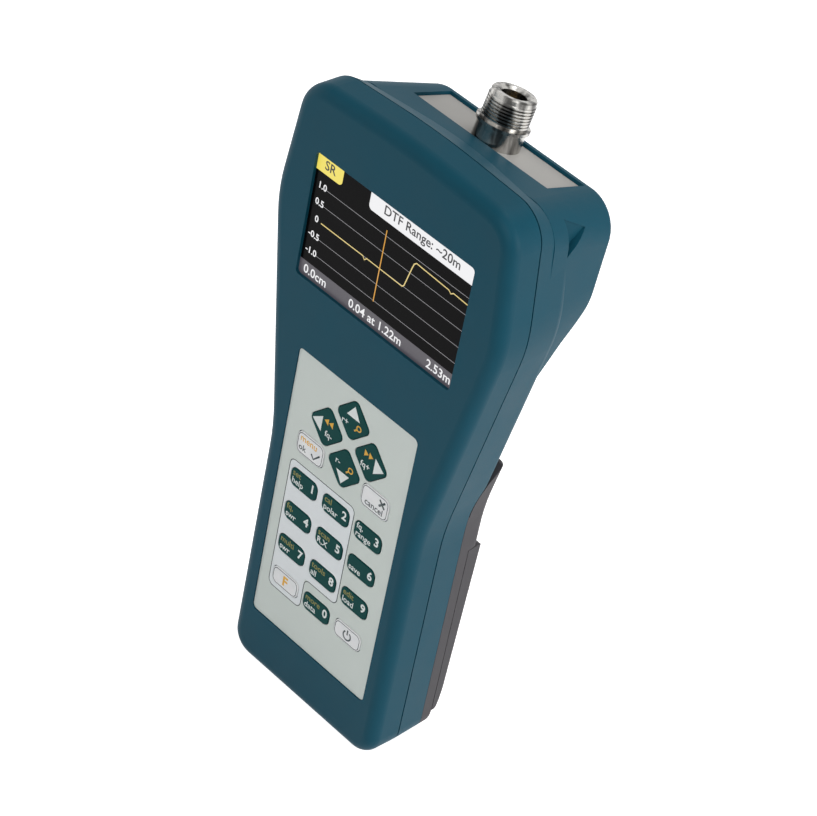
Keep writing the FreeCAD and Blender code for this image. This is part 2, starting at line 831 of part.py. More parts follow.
def board_spacers():
    spacers = []
    for x in (-spacer_x, spacer_x):
        for z in spacer_z:
            body = rod(x, z, spacer_radius, keypad_board_back, main_board_front)
            stud = rod(x, z, stud_radius, keypad_board_front - mat_thickness, keypad_board_back)
            bore = rod(x, z, spacer_bore_radius, main_board_front - spacer_bore_depth, main_board_front)
            spacers.append(body.fuse(stud).cut(bore))
    return Part.makeCompound(spacers)


def pan_screw(x, z, seat, head_radius, height, shank_radius, length):
    """A screw driven forwards from the back, with a cross recess in its head."""
    head = rod(x, z, head_radius, seat, seat + height)
    back = y_at(seat + height)
    head = round_edges(head, height * 0.4, lambda e: abs(e.BoundBox.YMin - back) < near)
    slot_long, slot_wide, slot_deep = head_radius * 1.1, head_radius * 0.28, height * 0.55
    for a, b in ((slot_long, slot_wide), (slot_wide, slot_long)):
        head = head.cut(box(x - a / 2, x + a / 2, seat + height - slot_deep, seat + height + over,
                            z - b / 2, z + b / 2))
    return head.fuse(rod(x, z, shank_radius, seat - length, seat)).removeSplitter()


def board_screws():
    screws = []
    for x in (-spacer_x, spacer_x):
        for z in spacer_z:
            screws.append(pan_screw(x, z, main_board_back, small_head_radius, small_head_height,
                                    stud_shank_radius, board_thickness + small_bite))
    for x in (-board_post_x, board_post_x):
        screws.append(pan_screw(x, board_post_z, main_board_back, head_radius_m3, head_height,
                                screw_radius - thread_clearance, board_thickness + bite))
    seat = display_front + display_thickness + bracket_thickness
    for x, z in display_ears():
        screws.append(pan_screw(x, z, seat, small_head_radius, small_head_height, small_shank_radius,
                                bracket_thickness + small_bite))
    return Part.makeCompound(screws)


def rf_shield():
    back = main_board_back + shield_height
    outer = box(-shield_half, shield_half, main_board_back, back, shield_low_z, shield_high_z)
    outer = round_edges(outer, shield_radius, lambda e: abs(e.BoundBox.YLength - shield_height) < near)
    half = shield_half - shield_wall
    inner = box(-half, half, main_board_back - over, back - shield_wall,
                shield_low_z + shield_wall, shield_high_z - shield_wall)
    can = outer.cut(inner)
    vents = []
    for column in range(vent_columns):
        x = (column - (vent_columns - 1) / 2) * vent_pitch
        for row in range(vent_rows):
            z = shield_low_z + vent_offset + row * vent_pitch
            vents.append(rod(x, z, vent_radius, main_board_back, back + over))
    return can.cut(vents)


def buzzer():
    body = rod(buzzer_x, buzzer_z, buzzer_radius, main_board_back, main_board_back + buzzer_height)
    return body.cut(rod(buzzer_x, buzzer_z, buzzer_hole_radius, main_board_back + buzzer_floor,
                        main_board_back + buzzer_height))


def usb_room(margin):
    wide, tall, deep = usb_size
    points = rectangle(wide / 2, main_board_back, main_board_back + deep, -margin)
    wire = rounded_wire(points, [usb_corner + margin] * 4, lambda x, d: V(x, y_at(d), -over))
    return Part.Face(wire).extrude(V(0, 0, wall + usb_room_height))


def usb_socket():
    wide, tall, deep = usb_size
    low = usb_low_z

    def plan(inset, z, length):
        points = rectangle(wide / 2, main_board_back, main_board_back + deep, inset)
        wire = rounded_wire(points, [usb_corner - inset] * 4, lambda x, d: V(x, y_at(d), z))
        return Part.Face(wire).extrude(V(0, 0, length))

    shell = plan(0.0, low, tall).cut(plan(usb_wall, low, tall - usb_back))
    middle = main_board_back + deep / 2
    half = wide / 2 - usb_tongue_side
    tongue = box(-half, half, middle - usb_tongue_half, middle + usb_tongue_half,
                 low + usb_tongue_inset, low + tall)
    return shell.fuse(tongue).removeSplitter()


def display_flex():
    start = display_front + display_thickness
    low = screen_low_z + bracket_rim + flex_offset
    run = box(-flex_half, flex_half, start, start + flex_thickness, low, low + flex_length)
    rise = box(-flex_half, flex_half, start, main_board_front, low - flex_thickness, low)
    return run.fuse(rise).removeSplitter()


def keypad_header():
    wide, tall = header_size
    return box(-wide / 2, wide / 2, keypad_board_back, main_board_front,
               header_z - tall / 2, header_z + tall / 2)


# Socket and top panel

def turned(points):
    """Turn a profile of radius and height about the socket's axis."""
    wire = Part.makePolygon([V(r, 0, h) for r, h in points] + [V(points[0][0], 0, points[0][1])])
    solid = Part.Face(wire).revolve(V(0, 0, 0), V(0, 0, 1), 360)
    if solid.Volume < 0:
        solid.reverse()
    solid.translate(V(0, socket_along, 0))
    return tilted(solid)


def socket_heights():
    seat = -panel_recess
    collar = seat + base_length
    barrel = collar + collar_length
    return seat, collar, barrel, barrel + barrel_length


def connector_body():
    seat, collar, barrel, mouth = socket_heights()
    floor = mouth - bore_depth
    outline = [(insulator_radius, seat - stub_length), (stub_radius, seat - stub_length), (stub_radius, seat),
               (base_radius, seat), (base_radius, collar), (collar_radius, collar), (collar_radius, barrel),
               (relief_radius, barrel), (relief_radius, barrel + relief_length)]
    height = barrel + relief_length
    root = thread_radius - thread_groove
    crest = thread_pitch - thread_groove
    for turn in range(thread_turns):
        outline += [(thread_radius, height), (thread_radius, height + crest)]
        height += crest
        if turn < thread_turns - 1:
            outline.append((root, height + thread_groove / 2))
            height += thread_groove
    outline += [(nose_radius, height + (thread_radius - nose_radius)), (nose_radius, mouth - mouth_edge),
                (nose_radius - mouth_edge, mouth), (mouth_radius, mouth),
                (bore_radius, mouth - mouth_chamfer), (bore_radius, floor), (insulator_radius, floor)]
    return turned(outline)


def connector_insulator():
    seat, collar, barrel, mouth = socket_heights()
    floor = mouth - bore_depth
    radius = insulator_radius - socket_fit
    hole = contact_radius + socket_fit
    return turned([(hole, seat - stub_length), (radius, seat - stub_length), (radius, floor), (hole, floor)])


def connector_contact():
    seat, collar, barrel, mouth = socket_heights()
    tip = mouth - contact_reach
    low = seat - stub_length - contact_tail
    body = turned([(0.0, low), (contact_radius, low), (contact_radius, tip - contact_chamfer),
                   (contact_radius - contact_chamfer, tip), (contact_bore_radius, tip),
                   (contact_bore_radius, tip - contact_bore_depth), (0.0, tip - contact_bore_depth)])
    across, wide, deep = contact_slot
    slot = Part.makeBox(across, wide, deep, V(-across / 2, socket_along - wide / 2, tip - deep))
    return body.cut(tilted(slot))


def connector_washer():
    top = -panel_recess - panel_thickness
    hole = stub_radius + stub_clearance
    low = top - washer_thickness
    return turned([(hole, low), (washer_radius, low), (washer_radius, top), (hole, top)])


def connector_nut():
    top = -panel_recess - panel_thickness - washer_thickness
    reach = nut_across / math.sqrt(3)
    points = [V(reach * math.cos(math.radians(60 * i)), socket_along + reach * math.sin(math.radians(60 * i)),
                top - nut_height) for i in range(6)]
    prism = Part.Face(Part.makePolygon(points + [points[0]])).extrude(V(0, 0, nut_height))
    hole = Part.makeCylinder(stub_radius + nut_clearance, nut_height + 2 * over,
                             V(0, socket_along, top - nut_height - over))
    return tilted(prism.cut(hole))


def rf_link():
    """A stiff lead, straight out of the socket, then bent forwards to the can."""
    seat = socket_heights()[0]
    low = seat - stub_length - contact_tail
    angle = math.radians(roof_tilt)
    start = V(0, y_at(ridge_depth + socket_along * math.cos(angle) + low * math.sin(angle)),
              ridge_z - socket_along * math.sin(angle) + low * math.cos(angle))
    down = V(0, -math.sin(angle), -math.cos(angle))
    end_depth = main_board_back + shield_height
    turn_z = start.z - link_drop
    corner = start + down * ((start.z - turn_z) / math.cos(angle))
    end = V(0, y_at(end_depth), corner.z)
    first, second = (start - corner), (end - corner)
    first.normalize()
    second.normalize()
    half = math.acos(first.dot(second)) / 2
    run = min(link_bend / math.tan(half), 0.8 * (start - corner).Length)
    radius = run * math.tan(half)
    towards = first + second
    towards.normalize()
    middle = corner + towards * (radius / math.sin(half) - radius)
    a, b = corner + first * run, corner + second * run
    path = Part.Wire([Part.LineSegment(start, a).toShape(), Part.Arc(a, middle, b).toShape(),
                      Part.LineSegment(b, end).toShape()])
    ring = Part.Wire([Part.Circle(start, down, link_radius).toShape()])
    return path.makePipeShell([ring], True, False)


def panel_room():
    long = panel_end - panel_start
    return tilted(Part.makeBox(2 * panel_half + 2 * panel_clearance, long + 2 * panel_clearance,
                               panel_recess + panel_thickness + far_over,
                               V(-panel_half - panel_clearance, panel_start - panel_clearance,
                                 -panel_recess - panel_thickness)))


def panel_opening():
    """Hole in the ledge under the panel, between its screws."""
    half = panel_screw_x - panel_opening_side
    long = panel_end - panel_start - 2 * panel_shelf
    return tilted(Part.makeBox(2 * half, long, far_over, V(-half, panel_start + panel_shelf, -far_over)))


def panel_screw_places():
    middle = (panel_start + panel_end) / 2
    return [(-panel_screw_x, middle), (panel_screw_x, middle)]


def top_panel():
    long = panel_end - panel_start
    plate = Part.makeBox(2 * panel_half, long, panel_thickness,
                         V(-panel_half, panel_start, -panel_recess - panel_thickness))
    low = -panel_recess - panel_thickness
    holes = [Part.makeCylinder(stub_radius + stub_clearance, panel_thickness + 2 * over,
                               V(0, socket_along, low - over))]
    holes += [Part.makeCylinder(panel_screw_radius + panel_thread_clearance,
                                panel_screw_bite + panel_screw_clearance, V(x, y, low))
              for x, y in panel_screw_places()]
    return tilted(plate.cut(holes))


def panel_screws():
    """Screws driven up from inside, through the ledge into the panel."""
    top = -panel_recess - panel_thickness - panel_ledge
    screws = []
    for x, y in panel_screw_places():
        head = Part.makeCylinder(small_head_radius, small_head_height, V(x, y, top - small_head_height))
        shank = Part.makeCylinder(panel_screw_radius, panel_ledge + panel_screw_bite, V(x, y, top))
        screws.append(tilted(head.fuse(shank).removeSplitter()))
    return Part.makeCompound(screws)


# Battery pack

def pack_profile():
    """Side outline of the pack: foot, rim under the cover, then the flat back above it."""
    front = pack_seam_depth + seam_gap
    step = cover_top_z + cover_gap
    return [(front, 0.0), (pack_foot_depth, 0.0), (rim_depth, cover_low_z - cover_gap), (rim_depth, step),
            (pack_depth, step), (pack_depth, pack_lip_z + far_over), (front, pack_lip_z + far_over)]


def battery_housing():
    front = pack_seam_depth + seam_gap
    profile = pack_profile()
    body = case_slab(front, pack_depth, 0.0)
    body = body.common(side_prism(profile, [0.0] * len(profile), head_half + over))
    below = box(-head_half, head_half, front, pack_depth + over, -over, pack_top_z)
    body = body.common(pack_region(-lip_gap).fuse(below))
    back = y_at(pack_depth)
    body = round_edges(body, pack_edge_radius,
                       lambda e: abs(e.BoundBox.YMin - back) < near and e.BoundBox.ZLength > pack_edge_radius)
    side = grip_half - pack_side_room
    room = box(-side, side, front, pack_depth - pack_wall, cover_top_z + cover_gap + pack_wall,
               pack_top_z - pack_room_drop)
    tub = box(-tub_half - tub_wall, tub_half + tub_wall, tub_front, rim_depth, tub_low_z - tub_wall,
              tub_high_z + tub_wall)
    body = body.fuse(tub)
    hollow = box(-tub_half, tub_half, tub_front + tub_wall, rim_depth + over, tub_low_z, tub_high_z)
    body = body.cut([room, hollow])
    ribs = []
    for x in (-cell_pitch / 2, cell_pitch / 2):
        ribs.append(box(x - rib_half, x + rib_half, tub_front + tub_wall, tub_front + tub_wall + rib_height,
                        tub_low_z, tub_high_z))
    body = body.fuse(ribs)
    for place in (pack_upper_screw, pack_lower_screw):
        seat = seat_depth(place, "pack")
        for x, z in frame_of(*place):
            body = body.cut([rod(x, z, screw_radius + shank_clearance, front - over, pack_depth + over),
                             rod(x, z, head_radius_m3 + head_clearance, seat, pack_depth + over)])
    for x, z in cover_tab_places():
        wide, thick, reach = cover_tab
        body = body.cut(box(x - wide / 2 - cover_gap, x + wide / 2 + cover_gap, rim_depth - reach - cover_gap,
                            rim_depth + over, z - thick / 2 - cover_gap, z + thick / 2 + cover_gap))
    return body.removeSplitter()


def cover_outline(inset):
    """Side outline of the cover: foot, sloping knee, long back and rounded top."""
    foot = rim_depth + cover_foot
    return [(rim_depth + cover_gap, cover_low_z + inset), (foot - inset, cover_low_z + inset),
            (cover_depth_low - inset, cover_knee_z), (cover_depth_top - inset, cover_top_z - inset),
            (rim_depth + cover_gap, cover_top_z - inset)]


def cover_solid(inset, depth):
    """The cover's outer body, or with an inset the room inside it, from a depth backwards."""
    end = cover_depth_top + over
    foot_radius = max(cover_foot_radius - inset, smallest_radius)
    radii = [0.0, foot_radius, cover_knee_radius, cover_round - inset, 0.0]
    points = cover_outline(inset)
    points[0] = (depth, points[0][1])
    points[4] = (depth, points[4][1])
    body = case_slab(depth, end, inset).common(side_prism(points, radii, head_half))
    lean = (cover_depth_top - cover_depth_low) / (cover_top_z - cover_knee_z)
    low_depth = cover_depth_low - inset - cover_knee_z * lean
    halves = [grip_half - inset - side_taper * (d - parting_depth) / (waist_depth - parting_depth)
              for d in (depth - far_over, low_depth)]
    section = [(-halves[0], depth - far_over), (halves[0], depth - far_over), (halves[1], low_depth),
               (-halves[1], low_depth)]
    radius = cover_side_round - inset
    wire = rounded_wire(section, [0.0, 0.0, radius, radius], lambda x, d: V(x, y_at(d), 0.0))
    rounding = Part.Face(wire).extrude(V(0, lean * pack_lip_z, pack_lip_z))
    return body.common(rounding)


def cover_tab_places():
    """Tabs that locate the cover: two at its foot and the latch at its top."""
    low = tub_low_z - tub_wall - cover_tab[1] / 2
    high = tub_high_z + tub_wall + cover_tab[1] / 2
    return [(-cover_tab_x, low), (cover_tab_x, low), (0.0, high)]


def battery_cover():
    body = cover_solid(0.0, rim_depth + cover_gap).cut(cover_solid(cover_wall, rim_depth))
    ridges = []
    for i in range(grip_ridges):
        z = grip_z - i * grip_pitch
        ridges.append(Part.makeCylinder(grip_depth, 2 * grip_half_width,
                                        V(-grip_half_width, y_at(cover_depth_at(z)), z), V(1, 0, 0)))
    body = body.cut(ridges)
    wide, thick, reach = cover_tab
    tabs = []
    for x, z in cover_tab_places():
        tabs.append(box(x - wide / 2, x + wide / 2, rim_depth - reach, cover_depth_at(z) - cover_wall / 2,
                        z - thick / 2, z + thick / 2))
    return body.fuse(tabs).removeSplitter()


def cover_depth_at(z):
    """Depth of the cover's outer face at a height."""
    if z < cover_knee_z:
        start, end = (cover_low_z, rim_depth + cover_foot), (cover_knee_z, cover_depth_low)
    else:
        start, end = (cover_knee_z, cover_depth_low), (cover_top_z, cover_depth_top)
    return start[1] + (end[1] - start[1]) * (z - start[0]) / (end[0] - start[0])


def battery_cell(x):
    low = V(x, y_at(cell_depth), cell_low_z)
    can = Part.makeCylinder(cell_radius - cell_sleeve_gap, cell_length, low, V(0, 0, 1))
    top = cell_low_z + cell_length
    can = round_edges(can, cell_round, lambda e: e.BoundBox.ZLength < near)
    nub = Part.makeCylinder(cell_nub[0], cell_nub[1], V(x, y_at(cell_depth), top), V(0, 0, 1))
    return can.fuse(nub).removeSplitter()


def contact_sheet(x, z):
    return box(x - contact_width / 2, x + contact_width / 2, cell_depth - contact_forward,
               cell_depth + contact_backward, z, z + contact_thickness)


def contact_springs():
    """Bowed leaf contacts against the flat ends of the cells."""
    leaves = []
    for i in (-1, 0, 1):
        x = i * cell_pitch
        z = tub_low_z
        plate = contact_sheet(x, z)
        start = cell_depth - leaf_forward
        high = cell_low_z - contact_play
        foot = box(x - leaf_half, x + leaf_half, start, start + contact_thickness, z, high)
        leaf = box(x - leaf_half, x + leaf_half, start, cell_depth + leaf_backward,
                   high - contact_thickness, high)
        leaves.append(plate.fuse([foot, leaf]).removeSplitter())
    return Part.makeCompound(leaves)


def contact_plates():
    """Dished plates against the raised ends of the cells."""
    plates = []
    nub_top = cell_low_z + cell_length + cell_nub[1]
    for i in (-1, 0, 1):
        x = i * cell_pitch
        z = tub_high_z - contact_thickness
        plate = contact_sheet(x, z)
        low = nub_top + contact_play
        dish = Part.makeCylinder(dish_radius, z - low, V(x, y_at(cell_depth), low), V(0, 0, 1))
        plates.append(plate.fuse(dish).removeSplitter())
    return Part.makeCompound(plates)


def battery_straps():
    """Metal strips from the outer contacts through the tub's floor to the main board."""
    straps = []
    for x in (-cell_pitch, cell_pitch):
        top = tub_low_z - strap_drop
        straps.append(box(x - strap_width / 2, x + strap_width / 2, main_board_back, tub_front,
                          top - strap_thickness, top))
    return Part.makeCompound(straps)


def case_screws():
    screws = []
    for place in (upper_screw, lower_screw):
        for x, z in frame_of(*place):
            screws.append(pan_screw(x, z, seat_depth(place, "case"), head_radius_m3, head_height,
                                    screw_radius - thread_clearance,
                                    seat_depth(place, "case") - parting_back + bite))
    return Part.makeCompound(screws)


def housing_screws():
    screws = []
    for place in (pack_upper_screw, pack_lower_screw):
        for x, z in frame_of(*place):
            seat = seat_depth(place, "pack")
            screws.append(pan_screw(x, z, seat, head_radius_m3, head_height, screw_radius - thread_clearance,
                                    seat - parting_back + bite))
    return Part.makeCompound(screws)


def all_pieces():
    pieces = {"front_shell": front_shell(), "rear_shell": rear_shell(), "case_gasket": case_gasket(),
              "screen_window": screen_window(), "window_gasket": window_gasket(),
              "display_module": display_module(), "display_bracket": display_bracket(),
              "keypad_overlay": keypad_overlay(), "key_mat": key_mat(), "keypad_board": keypad_board(),
              "main_board": main_board(), "board_chips": board_chips(), "board_spacers": board_spacers(),
              "board_screws": board_screws(), "rf_shield": rf_shield(), "rf_link": rf_link(),
              "buzzer": buzzer(), "usb_socket": usb_socket(), "display_flex": display_flex(),
              "keypad_header": keypad_header(), "connector_body": connector_body(),
              "connector_insulator": connector_insulator(), "connector_contact": connector_contact(),
              "connector_washer": connector_washer(), "connector_nut": connector_nut(),
              "top_panel": top_panel(), "panel_screws": panel_screws(),
              "battery_housing": battery_housing(), "battery_cover": battery_cover(),
              "contact_springs": contact_springs(), "contact_plates": contact_plates(),
              "battery_straps": battery_straps(), "case_screws": case_screws(),
              "housing_screws": housing_screws()}
    for key in key_table():
        pieces[key[0]] = one_key(key)
    for i in (-1, 0, 1):
        pieces["battery_cell_%d" % (i + 2)] = battery_cell(i * cell_pitch)
    return pieces


os.makedirs("parts", exist_ok=True)
for name, shape in all_pieces().items():
    shape.exportStep("parts/%s.step" % name)
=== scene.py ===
import math

import bmesh
import bpy
from mathutils import Matrix, Vector


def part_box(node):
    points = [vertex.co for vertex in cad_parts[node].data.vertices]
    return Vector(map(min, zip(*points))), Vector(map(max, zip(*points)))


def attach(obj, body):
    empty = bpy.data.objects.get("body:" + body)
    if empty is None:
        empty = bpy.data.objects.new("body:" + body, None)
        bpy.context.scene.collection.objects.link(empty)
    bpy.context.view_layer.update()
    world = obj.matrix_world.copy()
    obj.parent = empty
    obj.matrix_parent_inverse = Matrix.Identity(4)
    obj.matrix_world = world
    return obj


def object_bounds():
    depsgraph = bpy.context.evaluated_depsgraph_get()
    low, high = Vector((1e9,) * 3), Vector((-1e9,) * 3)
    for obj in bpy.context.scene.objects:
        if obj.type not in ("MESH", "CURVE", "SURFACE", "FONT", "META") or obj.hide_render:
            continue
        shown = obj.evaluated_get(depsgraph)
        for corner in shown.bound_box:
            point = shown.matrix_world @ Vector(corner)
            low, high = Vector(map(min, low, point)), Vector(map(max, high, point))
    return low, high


bl_info = {
    "name": "Antenna analyzer",
    "version": (1, 0, 0),
    "blender": (4, 5, 0),
    "location": "View3D > Sidebar > Analyzer",
    "description": "Finishes, prints and lights a handheld antenna analyzer on its fixed frame",
    "category": "Object",
}

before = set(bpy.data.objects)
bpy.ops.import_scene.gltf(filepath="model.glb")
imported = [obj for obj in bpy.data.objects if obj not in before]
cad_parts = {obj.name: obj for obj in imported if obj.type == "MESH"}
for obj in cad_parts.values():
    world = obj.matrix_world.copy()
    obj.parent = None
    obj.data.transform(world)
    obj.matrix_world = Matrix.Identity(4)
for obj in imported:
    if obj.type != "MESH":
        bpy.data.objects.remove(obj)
cad_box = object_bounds()

MM = 0.001
INK = 0.02 * MM             # thickness of printed ink
FACE = cad_box[0][1]        # depth of the front face
TILT = math.radians(15.0)   # lean of the roof and socket

NUMBER_KEYS = ["key_%d" % number for number in range(10)]
WHITE_KEYS = ["key_ok", "key_cancel", "key_shift", "key_power"]
ARROW_KEYS = ["key_up", "key_down", "key_left", "key_right"]

DOUBLES = 1e-7              # points closer than this are one point
CORNER_STEPS = 6            # straight pieces of a rounded corner
RING_STEPS = 20             # straight pieces of a printed ring
GLOW = 0.92                 # level of the lit picture
PLAIN_WEIGHT = 0.012        # share of the height by which strokes are thickened
STRONG_WEIGHT = 0.02
DIGIT_WEIGHT = 0.028
LETTER_WEIGHT = 0.03

# Material slots of the prints on the keys
WHITE_INK, AMBER_INK, DARK_INK, OLIVE_INK = range(4)

# The line round the group of keys, in millimetres; its low right corner is cut back to the step and shelf
GROUP_LEFT, GROUP_STEP, GROUP_RIGHT = -23.7, -7.5, 8.2
GROUP_LOW, GROUP_SHELF, GROUP_TOP = 37.2, 50.3, 91.9
GROUP_RADIUS = 2.3

# Material slots of the picture on the screen
WHITE, YELLOW, TRACE, CURSOR, GRID, BAR, DARK = range(7)

# The lit picture
PICTURE_HALF = 36.2 * MM
PICTURE_LOW = 159.4 * MM
PICTURE_TOP = 205.7 * MM
BAR_HEIGHT = 5.6 * MM
PAGE_TAB_WIDTH = 11.9 * MM
PAGE_TAB_HEIGHT = 6.7 * MM
RANGE_TAB_START = 24.6 * MM
RANGE_TAB_HEIGHT = 7.0 * MM
TAB_RADIUS = 1.6 * MM

# The graph, in shares of the picture's width and height
AXIS = 0.085                # where the level lines start
NUMBERS = 0.055             # middle of the numbers beside them
LEVELS = (("1.0", 0.745), ("0.5", 0.612), ("0", 0.478), ("-0.5", 0.345), ("-1.0", 0.212))
CURVE = ((AXIS, 0.478), (0.36, 0.478), (0.372, 0.456), (0.385, 0.478), (0.612, 0.474), (0.622, 0.49),
         (0.648, 0.66), (0.655, 0.697), (0.668, 0.715), (0.69, 0.712), (0.87, 0.7), (0.885, 0.683),
         (0.9, 0.7), (0.995, 0.692))
MARKER = ((0.468, 0.205), (0.468, 0.79))
READING_LINE = 0.03
READINGS = (("0.0cm", 0.03, "LEFT"), ("0.04 at 1.22m", 0.5, "CENTER"), ("2.53m", 0.985, "RIGHT"))

# The camera of the picture; its place is measured from the front face
CAMERA_LENS = 139.645
CAMERA_PLACE = (0.534992, -0.610727 + FACE, 0.734139)
CAMERA_RIGHT = (0.66975, 0.72371, 0.16638)
CAMERA_UP = (-0.53311, 0.31261, 0.78617)
CAMERA_BACK = (0.51695, -0.61524, 0.59519)

FLOOR_SIZE = 6.0            # metres
FLOOR_GLOW = 0.85           # how bright the camera sees the floor


def linear(red, green, blue):
    """A colour given in 0 to 255 display values, as linear values."""
    values = []
    for part in (red, green, blue):
        share = part / 255.0
        values.append(share / 12.92 if share <= 0.04045 else ((share + 0.055) / 1.055) ** 2.4)
    return tuple(values)


def swatch(name, description, red, green, blue):
    """A colour property."""
    return bpy.props.FloatVectorProperty(name=name, description=description, size=3, subtype="COLOR",
                                         min=0.0, max=1.0, default=linear(red, green, blue))


def length(name, description, millimetres):
    """A length property."""
    return bpy.props.FloatProperty(name=name, description=description, unit="LENGTH", subtype="DISTANCE",
                                   precision=5, default=millimetres * MM)


def level(name, description, value, **options):
    """A plain number property."""
    return bpy.props.FloatProperty(name=name, description=description, default=value, **options)


class AnalyzerCase(bpy.types.PropertyGroup):
    shell: swatch("Case", "Moulded plastic of both case halves", 12, 70, 87)
    pack: swatch("Battery pack", "Moulded plastic of the battery pack", 75, 73, 76)
    panel: swatch("Top panel", "Plate under the socket", 182, 180, 176)
    nickel: swatch("Nickel", "Plating of the socket", 178, 176, 172)
    seal: swatch("Seal", "Rubber between the case halves", 20, 22, 24)
    grain: length("Grain", "Distance between bumps of the moulded grain", 0.45)


class AnalyzerKeypad(bpy.types.PropertyGroup):
    sheet: swatch("Label", "Printed sheet round the keys", 220, 228, 223)
    field: swatch("Key field", "Paler print behind the group of keys", 240, 245, 247)
    green: swatch("Dark keys", "Rubber of the number and arrow keys", 14, 68, 66)
    white: swatch("White keys", "Rubber of the four pale keys", 246, 248, 250)
    white_ink: swatch("White ink", "Digits and words", 232, 238, 236)
    amber_ink: swatch("Amber ink", "Second function signs", 228, 172, 36)
    olive_ink: swatch("Olive ink", "Second function words on the dark keys", 128, 124, 46)
    dark_ink: swatch("Dark ink", "Marks on the white keys and the group line", 26, 46, 50)
    line: length("Group line", "Width of the line round a group of keys", 0.34)
    digit: length("Digit", "Height of the digits", 4.6)
    word: length("Word", "Height of the words", 3.3)
    sign: length("Sign", "Height of the second function signs on the arrow keys", 2.6)


class AnalyzerScreen(bpy.types.PropertyGroup):
    black: swatch("Background", "Dark ground of the picture", 9, 8, 9)
    yellow: swatch("Yellow", "Tab of the chosen page", 245, 226, 92)
    paper: swatch("White", "Tab with the range, and the numbers", 244, 244, 246)
    trace: swatch("Trace", "Measured curve", 232, 208, 128)
    cursor: swatch("Cursor", "Upright marker line", 226, 160, 40)
    grid: swatch("Grid", "Level lines", 150, 148, 152)
    bar: swatch("Bar", "Strip behind the readings", 72, 68, 76)
    line: length("Line", "Width of the level lines", 0.16)
    stroke: length("Stroke", "Width of the trace and cursor", 0.42)
    number: length("Number", "Height of the axis numbers", 3.3)
    reading: length("Reading", "Height of the readings", 4.5)
    title: length("Title", "Height of the words on the tabs", 4.7)


class AnalyzerStage(bpy.types.PropertyGroup):
    floor: swatch("Floor", "Paper sweep under the analyzer", 235, 235, 236)
    main_power: level("Main lamp", "Lamp at the right front", 5.6, unit="POWER")
    side_power: level("Side lamp", "Lamp along the right side", 7.5, unit="POWER")
    fill_power: level("Fill lamp", "Lamp at the left", 1.6, unit="POWER")
    top_power: level("Top lamp", "Lamp over the back", 3.6, unit="POWER")
    surround: level("Surround", "Level of the plain surround", 0.2)


# Shader maths

class Signal:
    """An output socket that can be used in sums."""

    def __init__(self, finish, socket):
        self.finish = finish
        self.socket = socket

    def combine(self, operation, first, second):
        return self.finish.node("ShaderNodeMath", {"operation": operation}, {0: first, 1: second})

    def __add__(self, other):
        return self.combine("ADD", self, other)

    __radd__ = __add__

    def __sub__(self, other):
        return self.combine("SUBTRACT", self, other)

    def __rsub__(self, other):
        return self.combine("SUBTRACT", other, self)

    def __mul__(self, other):
        return self.combine("MULTIPLY", self, other)

    __rmul__ = __mul__

    def __gt__(self, other):
        return self.combine("GREATER_THAN", self, other)

    def __lt__(self, other):
        return self.combine("LESS_THAN", self, other)


class Finish:
    """One material: a Principled shader with constants set on it, and the nodes that vary over it."""

    def __init__(self, name, colour, roughness=0.5, **constants):
        self.material = bpy.data.materials.new(name)
        self.material.use_nodes = True
        self.tree = self.material.node_tree
        self.shader = self.tree.nodes["Principled BSDF"]
        self.material.diffuse_color = tuple(colour) + (1.0,)
        self.set("Base Color", tuple(colour) + (1.0,))
        self.set("Roughness", roughness)
        for socket, value in constants.items():
            self.set(socket.replace("_", " ").title().replace("Ior", "IOR"), value)

    def set(self, socket, value):
        if isinstance(value, Signal):
            self.tree.links.new(value.socket, self.shader.inputs[socket])
        else:
            self.shader.inputs[socket].default_value = value

    def node(self, kind, settings=None, inputs=None, output=0):
        made = self.tree.nodes.new(kind)
        for name, value in (settings or {}).items():
            if name == "stops":
                for index, (place, colour) in enumerate(value):
                    stops = made.color_ramp.elements
                    stop = stops[index] if index < 2 else stops.new(place)
                    stop.position = place
                    stop.color = tuple(colour) + (1.0,)
            else:
                setattr(made, name, value)
        for name, value in (inputs or {}).items():
            if isinstance(value, Signal):
                self.tree.links.new(value.socket, made.inputs[name])
            else:
                made.inputs[name].default_value = value
        return Signal(self, made.outputs[output])

    def place(self, turn=(0.0, 0.0, 0.0), scale=(1.0, 1.0, 1.0)):
        where = self.node("ShaderNodeTexCoord", output="Object")
        return self.node("ShaderNodeMapping", {}, {"Vector": where, "Rotation": turn, "Scale": scale})

    def noise(self, size, detail=2.0, turn=(0.0, 0.0, 0.0), stretch=(1.0, 1.0, 1.0)):
        """A mottle whose patches are about that many metres across."""
        inputs = {"Vector": self.place(turn, stretch), "Scale": 1.0 / size,
                  "Detail": detail, "Roughness": 0.5}
        return self.node("ShaderNodeTexNoise", {}, inputs)

    def mix(self, factor, first, second):
        """A colour between two colours."""
        made = self.tree.nodes.new("ShaderNodeMix")
        made.data_type = "RGBA"
        for socket, value in ((made.inputs[0], factor), (made.inputs[6], first), (made.inputs[7], second)):
            if isinstance(value, Signal):
                self.tree.links.new(value.socket, socket)
            else:
                socket.default_value = value if isinstance(value, float) else tuple(value) + (1.0,)
        return Signal(self, made.outputs[2])

    def bump(self, height, depth):
        inputs = {"Height": height, "Distance": depth, "Strength": 1.0}
        self.set("Normal", self.node("ShaderNodeBump", {}, inputs))


def shade(colour, share):
    """A darker or lighter colour of the same hue."""
    return tuple(min(part * share, 1.0) for part in colour)


